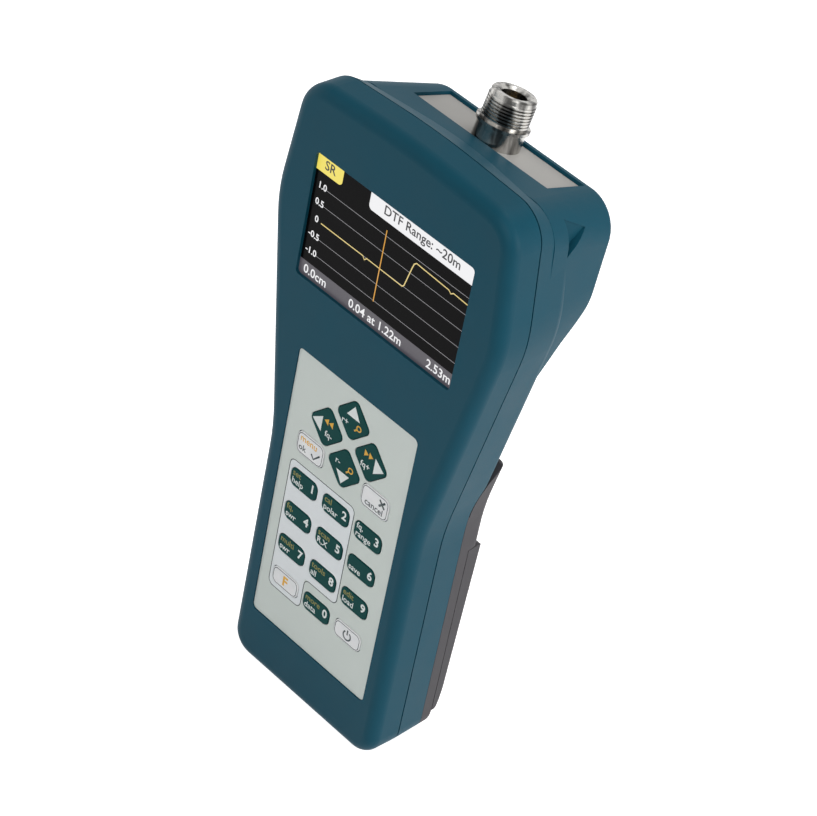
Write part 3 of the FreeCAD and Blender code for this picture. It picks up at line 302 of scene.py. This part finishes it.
def moulded(name, colour, grain, roughness=0.5, relief=0.012):
    """Moulded plastic: a fine even grain, faint mottling and slightly uneven gloss.

    The relief, in millimetres, is the height of the grain.
    """
    finish = Finish(name, colour, roughness, specular_ior_level=0.12)
    cloud = finish.noise(14 * MM, 3.0)
    fine = finish.noise(grain, 1.5)
    finish.set("Base Color", finish.mix(cloud * 0.7 + fine * 0.3, shade(colour, 0.9), shade(colour, 1.1)))
    finish.set("Roughness", cloud * 0.12 + fine * 0.08 + (roughness - 0.1))
    finish.bump(fine, relief * MM)
    return finish.material


def rubbery(name, colour, roughness=0.55):
    """Silicone: matt, with a very fine powdery texture."""
    finish = Finish(name, colour, roughness, specular_ior_level=0.07)
    fine = finish.noise(0.25 * MM, 2.0)
    cloud = finish.noise(5 * MM)
    finish.set("Base Color", finish.mix(cloud, shade(colour, 0.93), shade(colour, 1.08)))
    finish.set("Roughness", fine * 0.12 + (roughness - 0.06))
    finish.bump(fine, 0.006 * MM)
    return finish.material


def printed(name, colour):
    """Ink: even colour with a slightly broken surface."""
    finish = Finish(name, colour, 0.45)
    fine = finish.noise(0.2 * MM)
    finish.set("Base Color", finish.mix(fine, shade(colour, 0.92), shade(colour, 1.06)))
    return finish.material


def glowing(name, colour):
    """Part of the lit picture, with the faint dots of the display."""
    finish = Finish(name, (0.01, 0.01, 0.01), 0.4, emission_strength=GLOW)
    dots = finish.noise(0.18 * MM)
    finish.set("Emission Color", finish.mix(dots, shade(colour, 0.94), colour))
    return finish.material


def metallic(name, colour, roughness):
    """Metal with fine working marks and slightly uneven tone."""
    finish = Finish(name, colour, roughness, metallic=1.0)
    marks = finish.noise(0.4 * MM, 3.0)
    cloud = finish.noise(6 * MM, 2.0)
    finish.set("Base Color", finish.mix(cloud, shade(colour, 0.9), shade(colour, 1.05)))
    finish.set("Roughness", marks * 0.16 + (roughness - 0.08))
    finish.bump(marks, 0.003 * MM)
    return finish.material


def circuit(name, colour):
    """Solder mask over copper: darker lines and pads show through."""
    finish = Finish(name, colour, 0.35)
    lines = finish.node("ShaderNodeTexVoronoi", {"distance": "MANHATTAN"},
                        {"Vector": finish.place(), "Scale": 220.0})
    finish.set("Base Color", finish.mix(lines > 0.55, colour, shade(colour, 1.7)))
    finish.bump(lines, 0.01 * MM)
    return finish.material


def sleeve(name, low, high):
    """Printed cell sleeve: a plain body with a copper coloured band at the raised end."""
    plain, copper = linear(40, 62, 58), linear(186, 120, 62)
    finish = Finish(name, (0.05, 0.09, 0.08), 0.28, coat_weight=0.4)
    up = finish.node("ShaderNodeSeparateXYZ", {}, {0: finish.place()}, output=2)
    band = finish.node("ShaderNodeMapRange", {}, {"Value": up, "From Min": low, "From Max": high})
    cloud = finish.noise(3 * MM)
    colours = finish.node("ShaderNodeValToRGB", {"stops": [(0.0, plain), (0.74, copper)]}, {"Fac": band})
    colours.socket.node.color_ramp.interpolation = "CONSTANT"
    finish.set("Base Color", colours)
    finish.set("Roughness", cloud * 0.1 + 0.22)
    return finish.material


def dress(nodes, material):
    """Give pieces of the frame one material over every face."""
    for name in nodes:
        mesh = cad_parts[name].data
        mesh.materials.clear()
        mesh.materials.append(material)


# Mesh helpers

def add_piece(name, mesh, material, body):
    """Add a print to the scene, with one material or a list of them, riding on a body."""
    piece = bpy.data.objects.new(name, mesh)
    bpy.context.scene.collection.objects.link(piece)
    for one in material if isinstance(material, (list, tuple)) else (material,):
        mesh.materials.append(one)
    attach(piece, body)
    return piece


def finish_mesh(name, shape):
    """Write a bmesh to a mesh with its faces outwards."""
    bmesh.ops.remove_doubles(shape, verts=shape.verts, dist=DOUBLES)
    bmesh.ops.recalc_face_normals(shape, faces=shape.faces)
    mesh = bpy.data.meshes.new(name)
    shape.to_mesh(mesh)
    shape.free()
    return mesh


def add_plate(shape, corners, depth, index=0):
    """A flat plate of ink facing the front, from its corners."""
    face = shape.faces.new([shape.verts.new((x, depth, z)) for x, z in corners])
    pushed = bmesh.ops.extrude_face_region(shape, geom=[face], use_keep_orig=True)
    moved = [part for part in pushed["geom"] if isinstance(part, bmesh.types.BMVert)]
    bmesh.ops.translate(shape, verts=moved, vec=(0.0, INK, 0.0))
    for made in shape.faces:
        if not made.tag:
            made.material_index = index
            made.tag = True


def box_corners(left, right, low, high):
    return [(left, low), (right, low), (right, high), (left, high)]


def round_loop(corners, radius):
    """A closed outline with every corner rounded."""
    points = []
    for index, (x, z) in enumerate(corners):
        ends = []
        for other in (corners[index - 1], corners[(index + 1) % len(corners)]):
            span = math.hypot(other[0] - x, other[1] - z)
            ends.append((x + (other[0] - x) * radius / span, z + (other[1] - z) * radius / span))
        for step in range(CORNER_STEPS + 1):
            share = math.radians(90.0 * step / CORNER_STEPS)
            first, last = 1.0 - math.sin(share), 1.0 - math.cos(share)
            points.append((x + (ends[0][0] - x) * first + (ends[1][0] - x) * last,
                           z + (ends[0][1] - z) * first + (ends[1][1] - z) * last))
    return points + points[:1]


def merge_mesh(shape, mesh, index=0):
    """Add a mesh to a bmesh and give its faces one material slot."""
    before = len(shape.faces)
    shape.from_mesh(mesh)
    shape.faces.ensure_lookup_table()
    for face in shape.faces[before:]:
        face.material_index = index
        face.tag = True
    bpy.data.meshes.remove(mesh)


def word_mesh(text, height, x, z, depth, align="LEFT", weight=PLAIN_WEIGHT):
    """Lettering of the built-in face, lying on a front surface; x and z place its baseline.

    The weight thickens its strokes by that share of the height.
    """
    curve = bpy.data.curves.new("word", "FONT")
    curve.body = text
    curve.size = height
    curve.align_x = align
    curve.extrude = INK / 2
    curve.offset = weight * height
    curve.resolution_u = 3
    holder = bpy.data.objects.new("word", curve)
    bpy.context.scene.collection.objects.link(holder)
    graph = bpy.context.evaluated_depsgraph_get()
    mesh = bpy.data.meshes.new_from_object(holder.evaluated_get(graph))
    mesh.materials.clear()
    mesh.transform(Matrix.Translation((x, depth, z)) @ Matrix.Rotation(math.radians(90), 4, "X"))
    bpy.data.objects.remove(holder)
    bpy.data.curves.remove(curve)
    return mesh


def stroke_mesh(points, width, depth):
    """A drawn line with round ends, flattened on a front surface."""
    curve = bpy.data.curves.new("stroke", "CURVE")
    curve.dimensions = "3D"
    curve.bevel_depth = width / 2
    curve.bevel_resolution = 2
    curve.use_fill_caps = True
    spline = curve.splines.new("POLY")
    spline.points.add(len(points) - 1)
    for point, (x, z) in zip(spline.points, points):
        point.co = (x, 0.0, z, 1.0)
    holder = bpy.data.objects.new("stroke", curve)
    bpy.context.scene.collection.objects.link(holder)
    graph = bpy.context.evaluated_depsgraph_get()
    mesh = bpy.data.meshes.new_from_object(holder.evaluated_get(graph))
    mesh.materials.clear()
    mesh.transform(Matrix.Translation((0.0, depth, 0.0)) @ Matrix.Diagonal((1.0, INK / width, 1.0, 1.0)))
    bpy.data.objects.remove(holder)
    bpy.data.curves.remove(curve)
    return mesh


def arc_points(x, z, radius, start, end, steps):
    """Points along an arc; its angles are in degrees clockwise from the top."""
    angles = [math.radians(start + (end - start) * step / steps) for step in range(steps + 1)]
    return [(x + radius * math.sin(angle), z + radius * math.cos(angle)) for angle in angles]


# Case

class ANALYZER_OT_case(bpy.types.Operator):
    """Give the case, the pack and the screws their finishes"""
    bl_idname = "analyzer.case"
    bl_label = "Case finishes"

    def execute(self, context):
        look = context.scene.analyzer_case
        shell = moulded("case plastic", look.shell, look.grain, 0.5)
        dress(["front_shell", "rear_shell"], shell)
        pack = moulded("pack plastic", look.pack, look.grain, 0.55)
        dress(["battery_housing", "battery_cover"], pack)
        dress(["case_gasket", "window_gasket"], rubbery("seal rubber", look.seal, 0.6))
        dress(["case_screws", "housing_screws", "board_screws", "panel_screws"],
              metallic("zinc plated steel", linear(168, 168, 170), 0.34))
        dress(["top_panel"], moulded("painted plate", look.panel, 0.3 * MM, 0.42, 0.006))
        return {"FINISHED"}


class ANALYZER_OT_socket(bpy.types.Operator):
    """Give the coaxial socket its nickel, turned and with painted reflection bands in its colour, and its
    brass and white insulator
    """
    bl_idname = "analyzer.socket"
    bl_label = "Coaxial socket"

    def execute(self, context):
        look = context.scene.analyzer_case
        nickel = Finish("nickel with painted reflections", look.nickel, 0.2, metallic=1.0)
        # The dark and bright bands along the socket's axis are painted reflections, mixed into the nickel's
        # base colour on top of the metal's own reflections; the finer noise gives working marks in the
        # roughness and bump.
        painted_reflection_bands = nickel.noise(3.2 * MM, 2.0, (TILT, 0.0, 0.0), (1.0, 1.0, 0.12))
        fine = nickel.noise(0.15 * MM, 2.0, (TILT, 0.0, 0.0), (0.1, 0.1, 1.0))
        sharp_painted_reflections = nickel.node("ShaderNodeMapRange", {}, {"Value": painted_reflection_bands, "From Min": 0.4, "From Max": 0.6})
        nickel.set("Base Color", nickel.mix(sharp_painted_reflections, shade(look.nickel, 0.2), shade(look.nickel, 1.15)))
        nickel.set("Roughness", fine * 0.1 + 0.15)
        nickel.bump(fine, 0.002 * MM)
        dress(["connector_body", "connector_nut", "connector_washer"], nickel.material)
        dress(["connector_contact", "rf_link"], metallic("gold on brass", linear(214, 176, 92), 0.25))
        insulator = moulded("white insulator", linear(232, 230, 224), 0.3 * MM, 0.42, 0.004)
        dress(["connector_insulator"], insulator)
        return {"FINISHED"}


class ANALYZER_OT_inside(bpy.types.Operator):
    """Give the boards, cells and contacts their finishes"""
    bl_idname = "analyzer.inside"
    bl_label = "Inner pieces"

    def execute(self, context):
        dress(["main_board", "keypad_board"], circuit("solder mask", linear(22, 74, 44)))
        dress(["board_chips", "buzzer", "keypad_header"],
              moulded("chip epoxy", linear(30, 30, 32), 0.2 * MM, 0.4))
        dress(["display_flex"], moulded("amber film", linear(176, 108, 36), 0.5 * MM, 0.3, 0.002))
        tin = metallic("tin plate", linear(196, 196, 198), 0.3)
        dress(["rf_shield", "display_bracket", "usb_socket", "contact_springs", "contact_plates",
               "battery_straps"], tin)
        dress(["board_spacers"], metallic("drawn brass", linear(206, 170, 92), 0.3))
        dress(["key_mat"], rubbery("clear grey silicone", linear(150, 154, 152)))
        low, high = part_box("battery_cell_1")[0][2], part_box("battery_cell_1")[1][2]
        dress(["battery_cell_%d" % number for number in (1, 2, 3)], sleeve("cell sleeve", low, high))
        return {"FINISHED"}


# Keys

class ANALYZER_OT_keys(bpy.types.Operator):
    """Finish the rubber keys and print their digits, words and signs"""
    bl_idname = "analyzer.keys"
    bl_label = "Keys"

    # Words of the second and of the first function
    WORDS = {
        "key_1": ("set", "help"), "key_2": ("cal", "polar"), "key_3": ("fq,", "range"),
        "key_4": ("fq,", "swr"), "key_5": ("scan", "R,X"), "key_6": ("", "save"),
        "key_7": ("multi", "swr"), "key_8": ("tools", "all"), "key_9": ("edit", "load"),
        "key_0": ("more", "data")}

    # The arrow's turn in degrees, its base and tip, the word, its place and the sign's place, in
    # millimetres from the middle of the key
    ARROWS = {
        "key_up": (0, 1.1, 5.7, "r+", (-3.3, -3.0), (2.9, -1.5)),
        "key_right": (90, 2.0, 6.5, "fq+", (-1.9, -3.4), (-1.9, 2.3)),
        "key_down": (180, 1.7, 6.1, "r-", (-3.0, 0.4), (2.9, 1.0)),
        "key_left": (270, 2.2, 6.7, "fq-", (1.6, -3.4), (1.6, 2.3))}

    ARROW_HALF = 3.1            # half the width of an arrow's base
    WORD_EDGE = 5.5 * MM        # from the middle of a key to the ends of its print
    LOW_LINE = 2.35 * MM        # baseline of the first function
    HIGH_LINE = 0.75 * MM       # baseline of the second function, and of the digit below the middle
    FLANGE = 1.0 * MM           # from a flange's edge to the line round a white key
    OUTLINE_RADIUS = 1.9 * MM

    def middle(self, name):
        """The middle of a key and the depth of ink that is half sunk in its front."""
        low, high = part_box(name)
        return (low[0] + high[0]) / 2, (low[2] + high[2]) / 2, low[1] - INK / 2

    def print_key(self, name, shape, inks):
        add_piece("print_" + name, finish_mesh("print_" + name, shape), inks, name)

    def number_key(self, name, look, inks):
        """A digit at the right and one or two words at the left."""
        x, z, depth = self.middle(name)
        left, right = x - self.WORD_EDGE, x + self.WORD_EDGE
        second, first = self.WORDS[name]
        shape = bmesh.new()
        digit = word_mesh(name[-1], look.digit, right, z - self.HIGH_LINE, depth, "RIGHT", DIGIT_WEIGHT)
        merge_mesh(shape, digit, WHITE_INK)
        merge_mesh(shape, word_mesh(first, look.word, left, z - self.LOW_LINE, depth), WHITE_INK)
        if second:
            ink = WHITE_INK if name == "key_3" else OLIVE_INK
            merge_mesh(shape, word_mesh(second, look.word, left, z + self.HIGH_LINE, depth), ink)
        self.print_key(name, shape, inks)

    def fast_sign(self, shape, x, z, side, half, depth):
        """Two small amber arrow heads in a row."""
        for step in (-0.95, 0.75):
            start = x + side * step * half
            corners = [(start, z - half), (start + side * 1.45 * half, z), (start, z + half)]
            add_plate(shape, corners, depth, AMBER_INK)

    def zoom_sign(self, shape, x, z, half, depth):
        """An amber magnifying glass."""
        ring = arc_points(x + 0.25 * half, z + 0.2 * half, 0.75 * half, 0.0, 360.0, RING_STEPS)
        merge_mesh(shape, stroke_mesh(ring, 0.38 * half, depth), AMBER_INK)
        handle = [(x - 0.35 * half, z - 0.4 * half), (x - 1.2 * half, z - 1.25 * half)]
        merge_mesh(shape, stroke_mesh(handle, 0.5 * half, depth), AMBER_INK)

    def arrow_key(self, name, look, inks):
        """A white arrow near the outer corner, a white word and an amber sign."""
        turn, base, tip, word, word_place, sign_place = self.ARROWS[name]
        x, z, depth = self.middle(name)
        depth -= INK / 2
        angle = math.radians(turn)
        outline = [(-self.ARROW_HALF, base), (self.ARROW_HALF, base), (0.0, tip)]
        corners = [(x + (across * math.cos(angle) + up * math.sin(angle)) * MM,
                    z + (up * math.cos(angle) - across * math.sin(angle)) * MM) for across, up in outline]
        shape = bmesh.new()
        add_plate(shape, corners, depth, WHITE_INK)
        word_x, word_z = x + word_place[0] * MM, z + word_place[1] * MM
        merge_mesh(shape, word_mesh(word, look.word, word_x, word_z, depth, "CENTER"), WHITE_INK)
        sign_x, sign_z = x + sign_place[0] * MM, z + sign_place[1] * MM
        if turn in (90, 270):
            self.fast_sign(shape, sign_x, sign_z, 1 if turn == 90 else -1, look.sign / 2, depth)
        else:
            self.zoom_sign(shape, sign_x, sign_z, look.sign / 2, depth)
        self.print_key(name, shape, inks)

    def outlined(self, name, look):
        """A new print for a white key, with the dark line along its edge."""
        low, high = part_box(name)
        corners = box_corners(low[0] + self.FLANGE, high[0] - self.FLANGE,
                              low[2] + self.FLANGE, high[2] - self.FLANGE)
        shape = bmesh.new()
        loop = round_loop(corners, self.OUTLINE_RADIUS)
        merge_mesh(shape, stroke_mesh(loop, look.line * 0.8, low[1] - INK / 2), DARK_INK)
        return shape

    def ok_key(self, look, inks):
        x, z, depth = self.middle("key_ok")
        shape = self.outlined("key_ok", look)
        merge_mesh(shape, word_mesh("ok", look.word, x - 5.2 * MM, z - 2.7 * MM, depth), DARK_INK)
        merge_mesh(shape, word_mesh("menu", look.word * 1.1, x - 5.0 * MM, z + 0.9 * MM, depth), AMBER_INK)
        tick = [(x + 0.9 * MM, z - 1.2 * MM), (x + 2.2 * MM, z - 2.7 * MM), (x + 4.8 * MM, z + 0.2 * MM)]
        merge_mesh(shape, stroke_mesh(tick, 0.7 * MM, depth), DARK_INK)
        self.print_key("key_ok", shape, inks)

    def cancel_key(self, look, inks):
        x, z, depth = self.middle("key_cancel")
        shape = self.outlined("key_cancel", look)
        word = word_mesh("cancel", look.word * 1.05, x, z - 3.0 * MM, depth, "CENTER")
        merge_mesh(shape, word, DARK_INK)
        cross = x + 3.3 * MM
        for side in (-1, 1):
            bar = [(cross - side * 1.3 * MM, z + 0.1 * MM), (cross + side * 1.3 * MM, z + 2.7 * MM)]
            merge_mesh(shape, stroke_mesh(bar, 0.8 * MM, depth), DARK_INK)
        self.print_key("key_cancel", shape, inks)

    def shift_key(self, look, inks):
        x, z, depth = self.middle("key_shift")
        shape = self.outlined("key_shift", look)
        letter = word_mesh("F", look.digit * 1.2, x, z - 1.9 * MM, depth, "CENTER", LETTER_WEIGHT)
        merge_mesh(shape, letter, AMBER_INK)
        self.print_key("key_shift", shape, inks)

    def power_key(self, look, inks):
        x, z, depth = self.middle("key_power")
        shape = self.outlined("key_power", look)
        ring = arc_points(x, z - 0.2 * MM, 1.75 * MM, 35.0, 325.0, RING_STEPS)
        merge_mesh(shape, stroke_mesh(ring, 0.6 * MM, depth), DARK_INK)
        bar = [(x, z + 0.1 * MM), (x, z + 2.1 * MM)]
        merge_mesh(shape, stroke_mesh(bar, 0.6 * MM, depth), DARK_INK)
        self.print_key("key_power", shape, inks)

    def execute(self, context):
        look = context.scene.analyzer_keypad
        dress(NUMBER_KEYS + ARROW_KEYS, rubbery("dark green silicone", look.green))
        dress(WHITE_KEYS, rubbery("white silicone", look.white, 0.5))
        inks = [printed("white ink", look.white_ink), printed("amber ink", look.amber_ink),
                printed("dark ink", look.dark_ink), printed("olive ink", look.olive_ink)]
        for name in NUMBER_KEYS:
            self.number_key(name, look, inks)
        for name in self.ARROWS:
            self.arrow_key(name, look, inks)
        self.ok_key(look, inks)
        self.cancel_key(look, inks)
        self.shift_key(look, inks)
        self.power_key(look, inks)
        return {"FINISHED"}


class ANALYZER_OT_label(bpy.types.Operator):
    """Finish the label sheet and print the line round the group of keys"""
    bl_idname = "analyzer.label"
    bl_label = "Label"

    def rounded(self, across, up, left, right, low, high):
        """1 inside a rectangle with round corners, given in millimetres, and 0 outside."""
        gaps = []
        for place, start, end in ((across, left, right), (up, low, high)):
            off = place - (start + end) / 2 * MM
            off = off.combine("ABSOLUTE", off, 0.0) - ((end - start) / 2 - GROUP_RADIUS) * MM
            gaps.append(off.combine("MAXIMUM", off, 0.0))
        return (GROUP_RADIUS * MM) ** 2 > gaps[0] * gaps[0] + gaps[1] * gaps[1]

    def execute(self, context):
        look = context.scene.analyzer_keypad
        finish = Finish("label film", look.sheet, 0.42, specular_ior_level=0.07)
        fine = finish.noise(0.16 * MM, 2.0)
        cloud = finish.noise(30 * MM)
        sheet = finish.mix(cloud * 0.7 + fine * 0.3, shade(look.sheet, 0.97), shade(look.sheet, 1.03))
        across = finish.node("ShaderNodeSeparateXYZ", {}, {0: finish.place()}, output=0)
        up = finish.node("ShaderNodeSeparateXYZ", {}, {0: finish.place()}, output=2)
        narrow = self.rounded(across, up, GROUP_LEFT, GROUP_STEP, GROUP_LOW, GROUP_TOP)
        wide = self.rounded(across, up, GROUP_LEFT, GROUP_RIGHT, GROUP_SHELF, GROUP_TOP)
        inside = narrow.combine("MAXIMUM", narrow, wide)
        finish.set("Base Color", finish.mix(inside, sheet, look.field))
        finish.set("Roughness", fine * 0.1 + 0.37)
        finish.bump(fine, 0.003 * MM)
        dress(["keypad_overlay"], finish.material)

        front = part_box("keypad_overlay")[0][1]
        outline = [(GROUP_LEFT, GROUP_LOW), (GROUP_STEP, GROUP_LOW), (GROUP_STEP, GROUP_SHELF),
                   (GROUP_RIGHT, GROUP_SHELF), (GROUP_RIGHT, GROUP_TOP), (GROUP_LEFT, GROUP_TOP)]
        shape = bmesh.new()
        loop = round_loop([(x * MM, z * MM) for x, z in outline], GROUP_RADIUS * MM)
        merge_mesh(shape, stroke_mesh(loop, look.line, front - INK / 2))
        ink = printed("label ink", look.dark_ink)
        add_piece("group_line", finish_mesh("group_line", shape), ink, "case")
        return {"FINISHED"}


# Screen

class ANALYZER_OT_screen(bpy.types.Operator):
    """Light the display with a plain graph and finish its window"""
    bl_idname = "analyzer.screen"
    bl_label = "Screen"

    def tab(self, shape, left, right, low, high, depth, index, round_side):
        """A tab hanging from the top edge, with one lower corner rounded."""
        if round_side == "right":
            curve = arc_points(right - TAB_RADIUS, low + TAB_RADIUS, TAB_RADIUS, 180.0, 90.0, CORNER_STEPS)
            corners = [(left, low)] + curve + [(right, high), (left, high)]
        else:
            curve = arc_points(left + TAB_RADIUS, low + TAB_RADIUS, TAB_RADIUS, 270.0, 180.0, CORNER_STEPS)
            corners = curve + [(right, low), (right, high), (left, high)]
        add_plate(shape, corners, depth, index)

    def execute(self, context):
        look = context.scene.analyzer_screen
        ground = Finish("display glass", look.black, 0.25, specular_ior_level=0.05)
        fine = ground.noise(0.2 * MM)
        ground.set("Base Color", ground.mix(fine, shade(look.black, 0.9), shade(look.black, 1.1)))
        dress(["display_module"], ground.material)
        window = Finish("bonded window", look.black, 0.2, specular_ior_level=0.04)
        dust = window.noise(1.5 * MM, 4.0)
        window.set("Roughness", dust * 0.1 + 0.15)
        dress(["screen_window"], window.material)

        left, right, low, high = -PICTURE_HALF, PICTURE_HALF, PICTURE_LOW, PICTURE_TOP
        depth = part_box("screen_window")[0][1] - INK

        def at(share_x, share_z):
            return left + (right - left) * share_x, low + (high - low) * share_z

        white, yellow = glowing("lit white", look.paper), glowing("lit yellow", look.yellow)
        trace, cursor = glowing("lit trace", look.trace), glowing("lit cursor", look.cursor)
        grid, bar = glowing("lit grid", look.grid), glowing("lit bar", look.bar)
        dark = printed("picture ink", linear(40, 40, 44))
        inks = [white, yellow, trace, cursor, grid, bar, dark]
        shape = bmesh.new()

        add_plate(shape, box_corners(left, right, low, low + BAR_HEIGHT), depth, BAR)
        self.tab(shape, left, left + PAGE_TAB_WIDTH, high - PAGE_TAB_HEIGHT, high, depth, YELLOW, "right")
        self.tab(shape, left + RANGE_TAB_START, right, high - RANGE_TAB_HEIGHT, high, depth, WHITE, "left")
        for _, share in LEVELS:
            x, z = at(AXIS, share)
            add_plate(shape, box_corners(x, right, z - look.line / 2, z + look.line / 2), depth, GRID)
        for text, share in LEVELS:
            x, z = at(NUMBERS, share)
            number = word_mesh(text, look.number, x, z - 0.2 * look.number, depth, "CENTER", STRONG_WEIGHT)
            merge_mesh(shape, number, WHITE)
        curve, marker = [at(*share) for share in CURVE], [at(*share) for share in MARKER]
        merge_mesh(shape, stroke_mesh(curve, look.stroke, depth - INK), TRACE)
        merge_mesh(shape, stroke_mesh(marker, look.stroke, depth - 2 * INK), CURSOR)
        for text, share, align in READINGS:
            x, z = at(share, READING_LINE)
            merge_mesh(shape, word_mesh(text, look.reading, x, z, depth - INK, align), WHITE)
        for text, x, z in (("SR", 6.0, 4.9), ("DTF Range: ~20m", 48.4, 5.0)):
            title = word_mesh(text, look.title, left + x * MM, high - z * MM, depth - INK, "CENTER")
            merge_mesh(shape, title, DARK)
        add_piece("screen_picture", finish_mesh("screen_picture", shape), inks, "case")
        return {"FINISHED"}


# Stage

class ANALYZER_OT_stage(bpy.types.Operator):
    """Set up the floor, the lamps and the camera"""
    bl_idname = "analyzer.stage"
    bl_label = "Stage"

    def lamp(self, name, place, target, size, power):
        data = bpy.data.lights.new(name, "AREA")
        data.shape = "RECTANGLE"
        data.size, data.size_y = size
        data.energy = power
        lamp = bpy.data.objects.new(name, data)
        lamp.location = place
        lamp.rotation_euler = (Vector(target) - Vector(place)).to_track_quat("-Z", "Y").to_euler()
        bpy.context.scene.collection.objects.link(lamp)

    def lit_for_camera(self, tree):
        """1 for rays from the camera, a mirror or through glass."""
        path = tree.nodes.new("ShaderNodeLightPath")
        total = path.outputs["Is Camera Ray"]
        for name in ("Is Glossy Ray", "Is Transmission Ray"):
            adder = tree.nodes.new("ShaderNodeMath")
            adder.operation = "MAXIMUM"
            tree.links.new(total, adder.inputs[0])
            tree.links.new(path.outputs[name], adder.inputs[1])
            total = adder.outputs[0]
        return total

    def execute(self, context):
        look = context.scene.analyzer_stage
        scene = context.scene
        shape = bmesh.new()
        bmesh.ops.create_grid(shape, x_segments=1, y_segments=1, size=FLOOR_SIZE)
        mesh = bpy.data.meshes.new("floor")
        shape.to_mesh(mesh)
        shape.free()
        floor = bpy.data.objects.new("floor", mesh)
        scene.collection.objects.link(floor)
        glow = (1.0, 1.0, 1.0, 1.0)
        paper = Finish("paper floor", look.floor, 0.9, specular_ior_level=0.0, emission_color=glow)
        seen = self.lit_for_camera(paper.tree)
        lift = paper.tree.nodes.new("ShaderNodeMath")
        lift.operation = "MULTIPLY"
        lift.inputs[1].default_value = FLOOR_GLOW
        paper.tree.links.new(seen, lift.inputs[0])
        paper.tree.links.new(lift.outputs[0], paper.shader.inputs["Emission Strength"])
        mesh.materials.append(paper.material)

        world = bpy.data.worlds.new("surround")
        scene.world = world
        world.use_nodes = True
        back = world.node_tree.nodes["Background"]
        seen = self.lit_for_camera(world.node_tree)
        level = world.node_tree.nodes.new("ShaderNodeMapRange")
        level.inputs["To Min"].default_value = look.surround
        level.inputs["To Max"].default_value = 1.0
        world.node_tree.links.new(seen, level.inputs["Value"])
        world.node_tree.links.new(level.outputs[0], back.inputs["Strength"])
        back.inputs["Color"].default_value = (1.0, 1.0, 1.0, 1.0)

        middle = (0.0, 0.0, 0.12)
        self.lamp("main lamp", (0.5, -0.9, 0.9), middle, (0.7, 0.7), look.main_power)
        self.lamp("side lamp", (1.1, 0.25, 0.45), middle, (0.5, 0.9), look.side_power)
        self.lamp("fill lamp", (-1.0, -0.6, 0.5), middle, (0.8, 0.8), look.fill_power)
        self.lamp("top lamp", (0.1, 0.35, 1.2), (0.0, 0.0, 0.2), (0.6, 0.4), look.top_power)

        data = bpy.data.cameras.new("camera")
        data.sensor_width = 36.0
        data.lens = CAMERA_LENS
        data.clip_start = 0.05
        data.clip_end = 30.0
        camera = bpy.data.objects.new("camera", data)
        turn = Matrix((CAMERA_RIGHT, CAMERA_UP, CAMERA_BACK)).transposed().to_4x4()
        camera.matrix_world = Matrix.Translation(CAMERA_PLACE) @ turn
        scene.collection.objects.link(camera)
        scene.camera = camera
        scene.view_settings.view_transform = "Standard"
        return {"FINISHED"}


class ANALYZER_PT_sidebar(bpy.types.Panel):
    """Sizes, colours and steps of the antenna analyzer"""
    bl_idname = "ANALYZER_PT_sidebar"
    bl_label = "Antenna analyzer"
    bl_space_type = "VIEW_3D"
    bl_region_type = "UI"
    bl_category = "Analyzer"

    def draw(self, context):
        for name in GROUPS:
            group = getattr(context.scene, name)
            column = self.layout.column(align=True)
            for option in group.__annotations__:
                column.prop(group, option)
        for operator in STEPS:
            self.layout.operator(operator.bl_idname)


STEPS = (ANALYZER_OT_case, ANALYZER_OT_socket, ANALYZER_OT_inside, ANALYZER_OT_keys, ANALYZER_OT_label,
         ANALYZER_OT_screen, ANALYZER_OT_stage)
GROUPS = {"analyzer_case": AnalyzerCase, "analyzer_keypad": AnalyzerKeypad, "analyzer_screen": AnalyzerScreen,
          "analyzer_stage": AnalyzerStage}


def register():
    for name, group in GROUPS.items():
        bpy.utils.register_class(group)
        setattr(bpy.types.Scene, name, bpy.props.PointerProperty(type=group))
    for step in STEPS + (ANALYZER_PT_sidebar,):
        bpy.utils.register_class(step)


def unregister():
    for step in (ANALYZER_PT_sidebar,) + STEPS[::-1]:
        bpy.utils.unregister_class(step)
    for name, group in GROUPS.items():
        delattr(bpy.types.Scene, name)
        bpy.utils.unregister_class(group)


def main():
    register()
    for step in STEPS:
        group, name = step.bl_idname.split(".")
        getattr(getattr(bpy.ops, group), name)()
    bpy.context.view_layer.update()


if __name__ == "__main__":
    main()
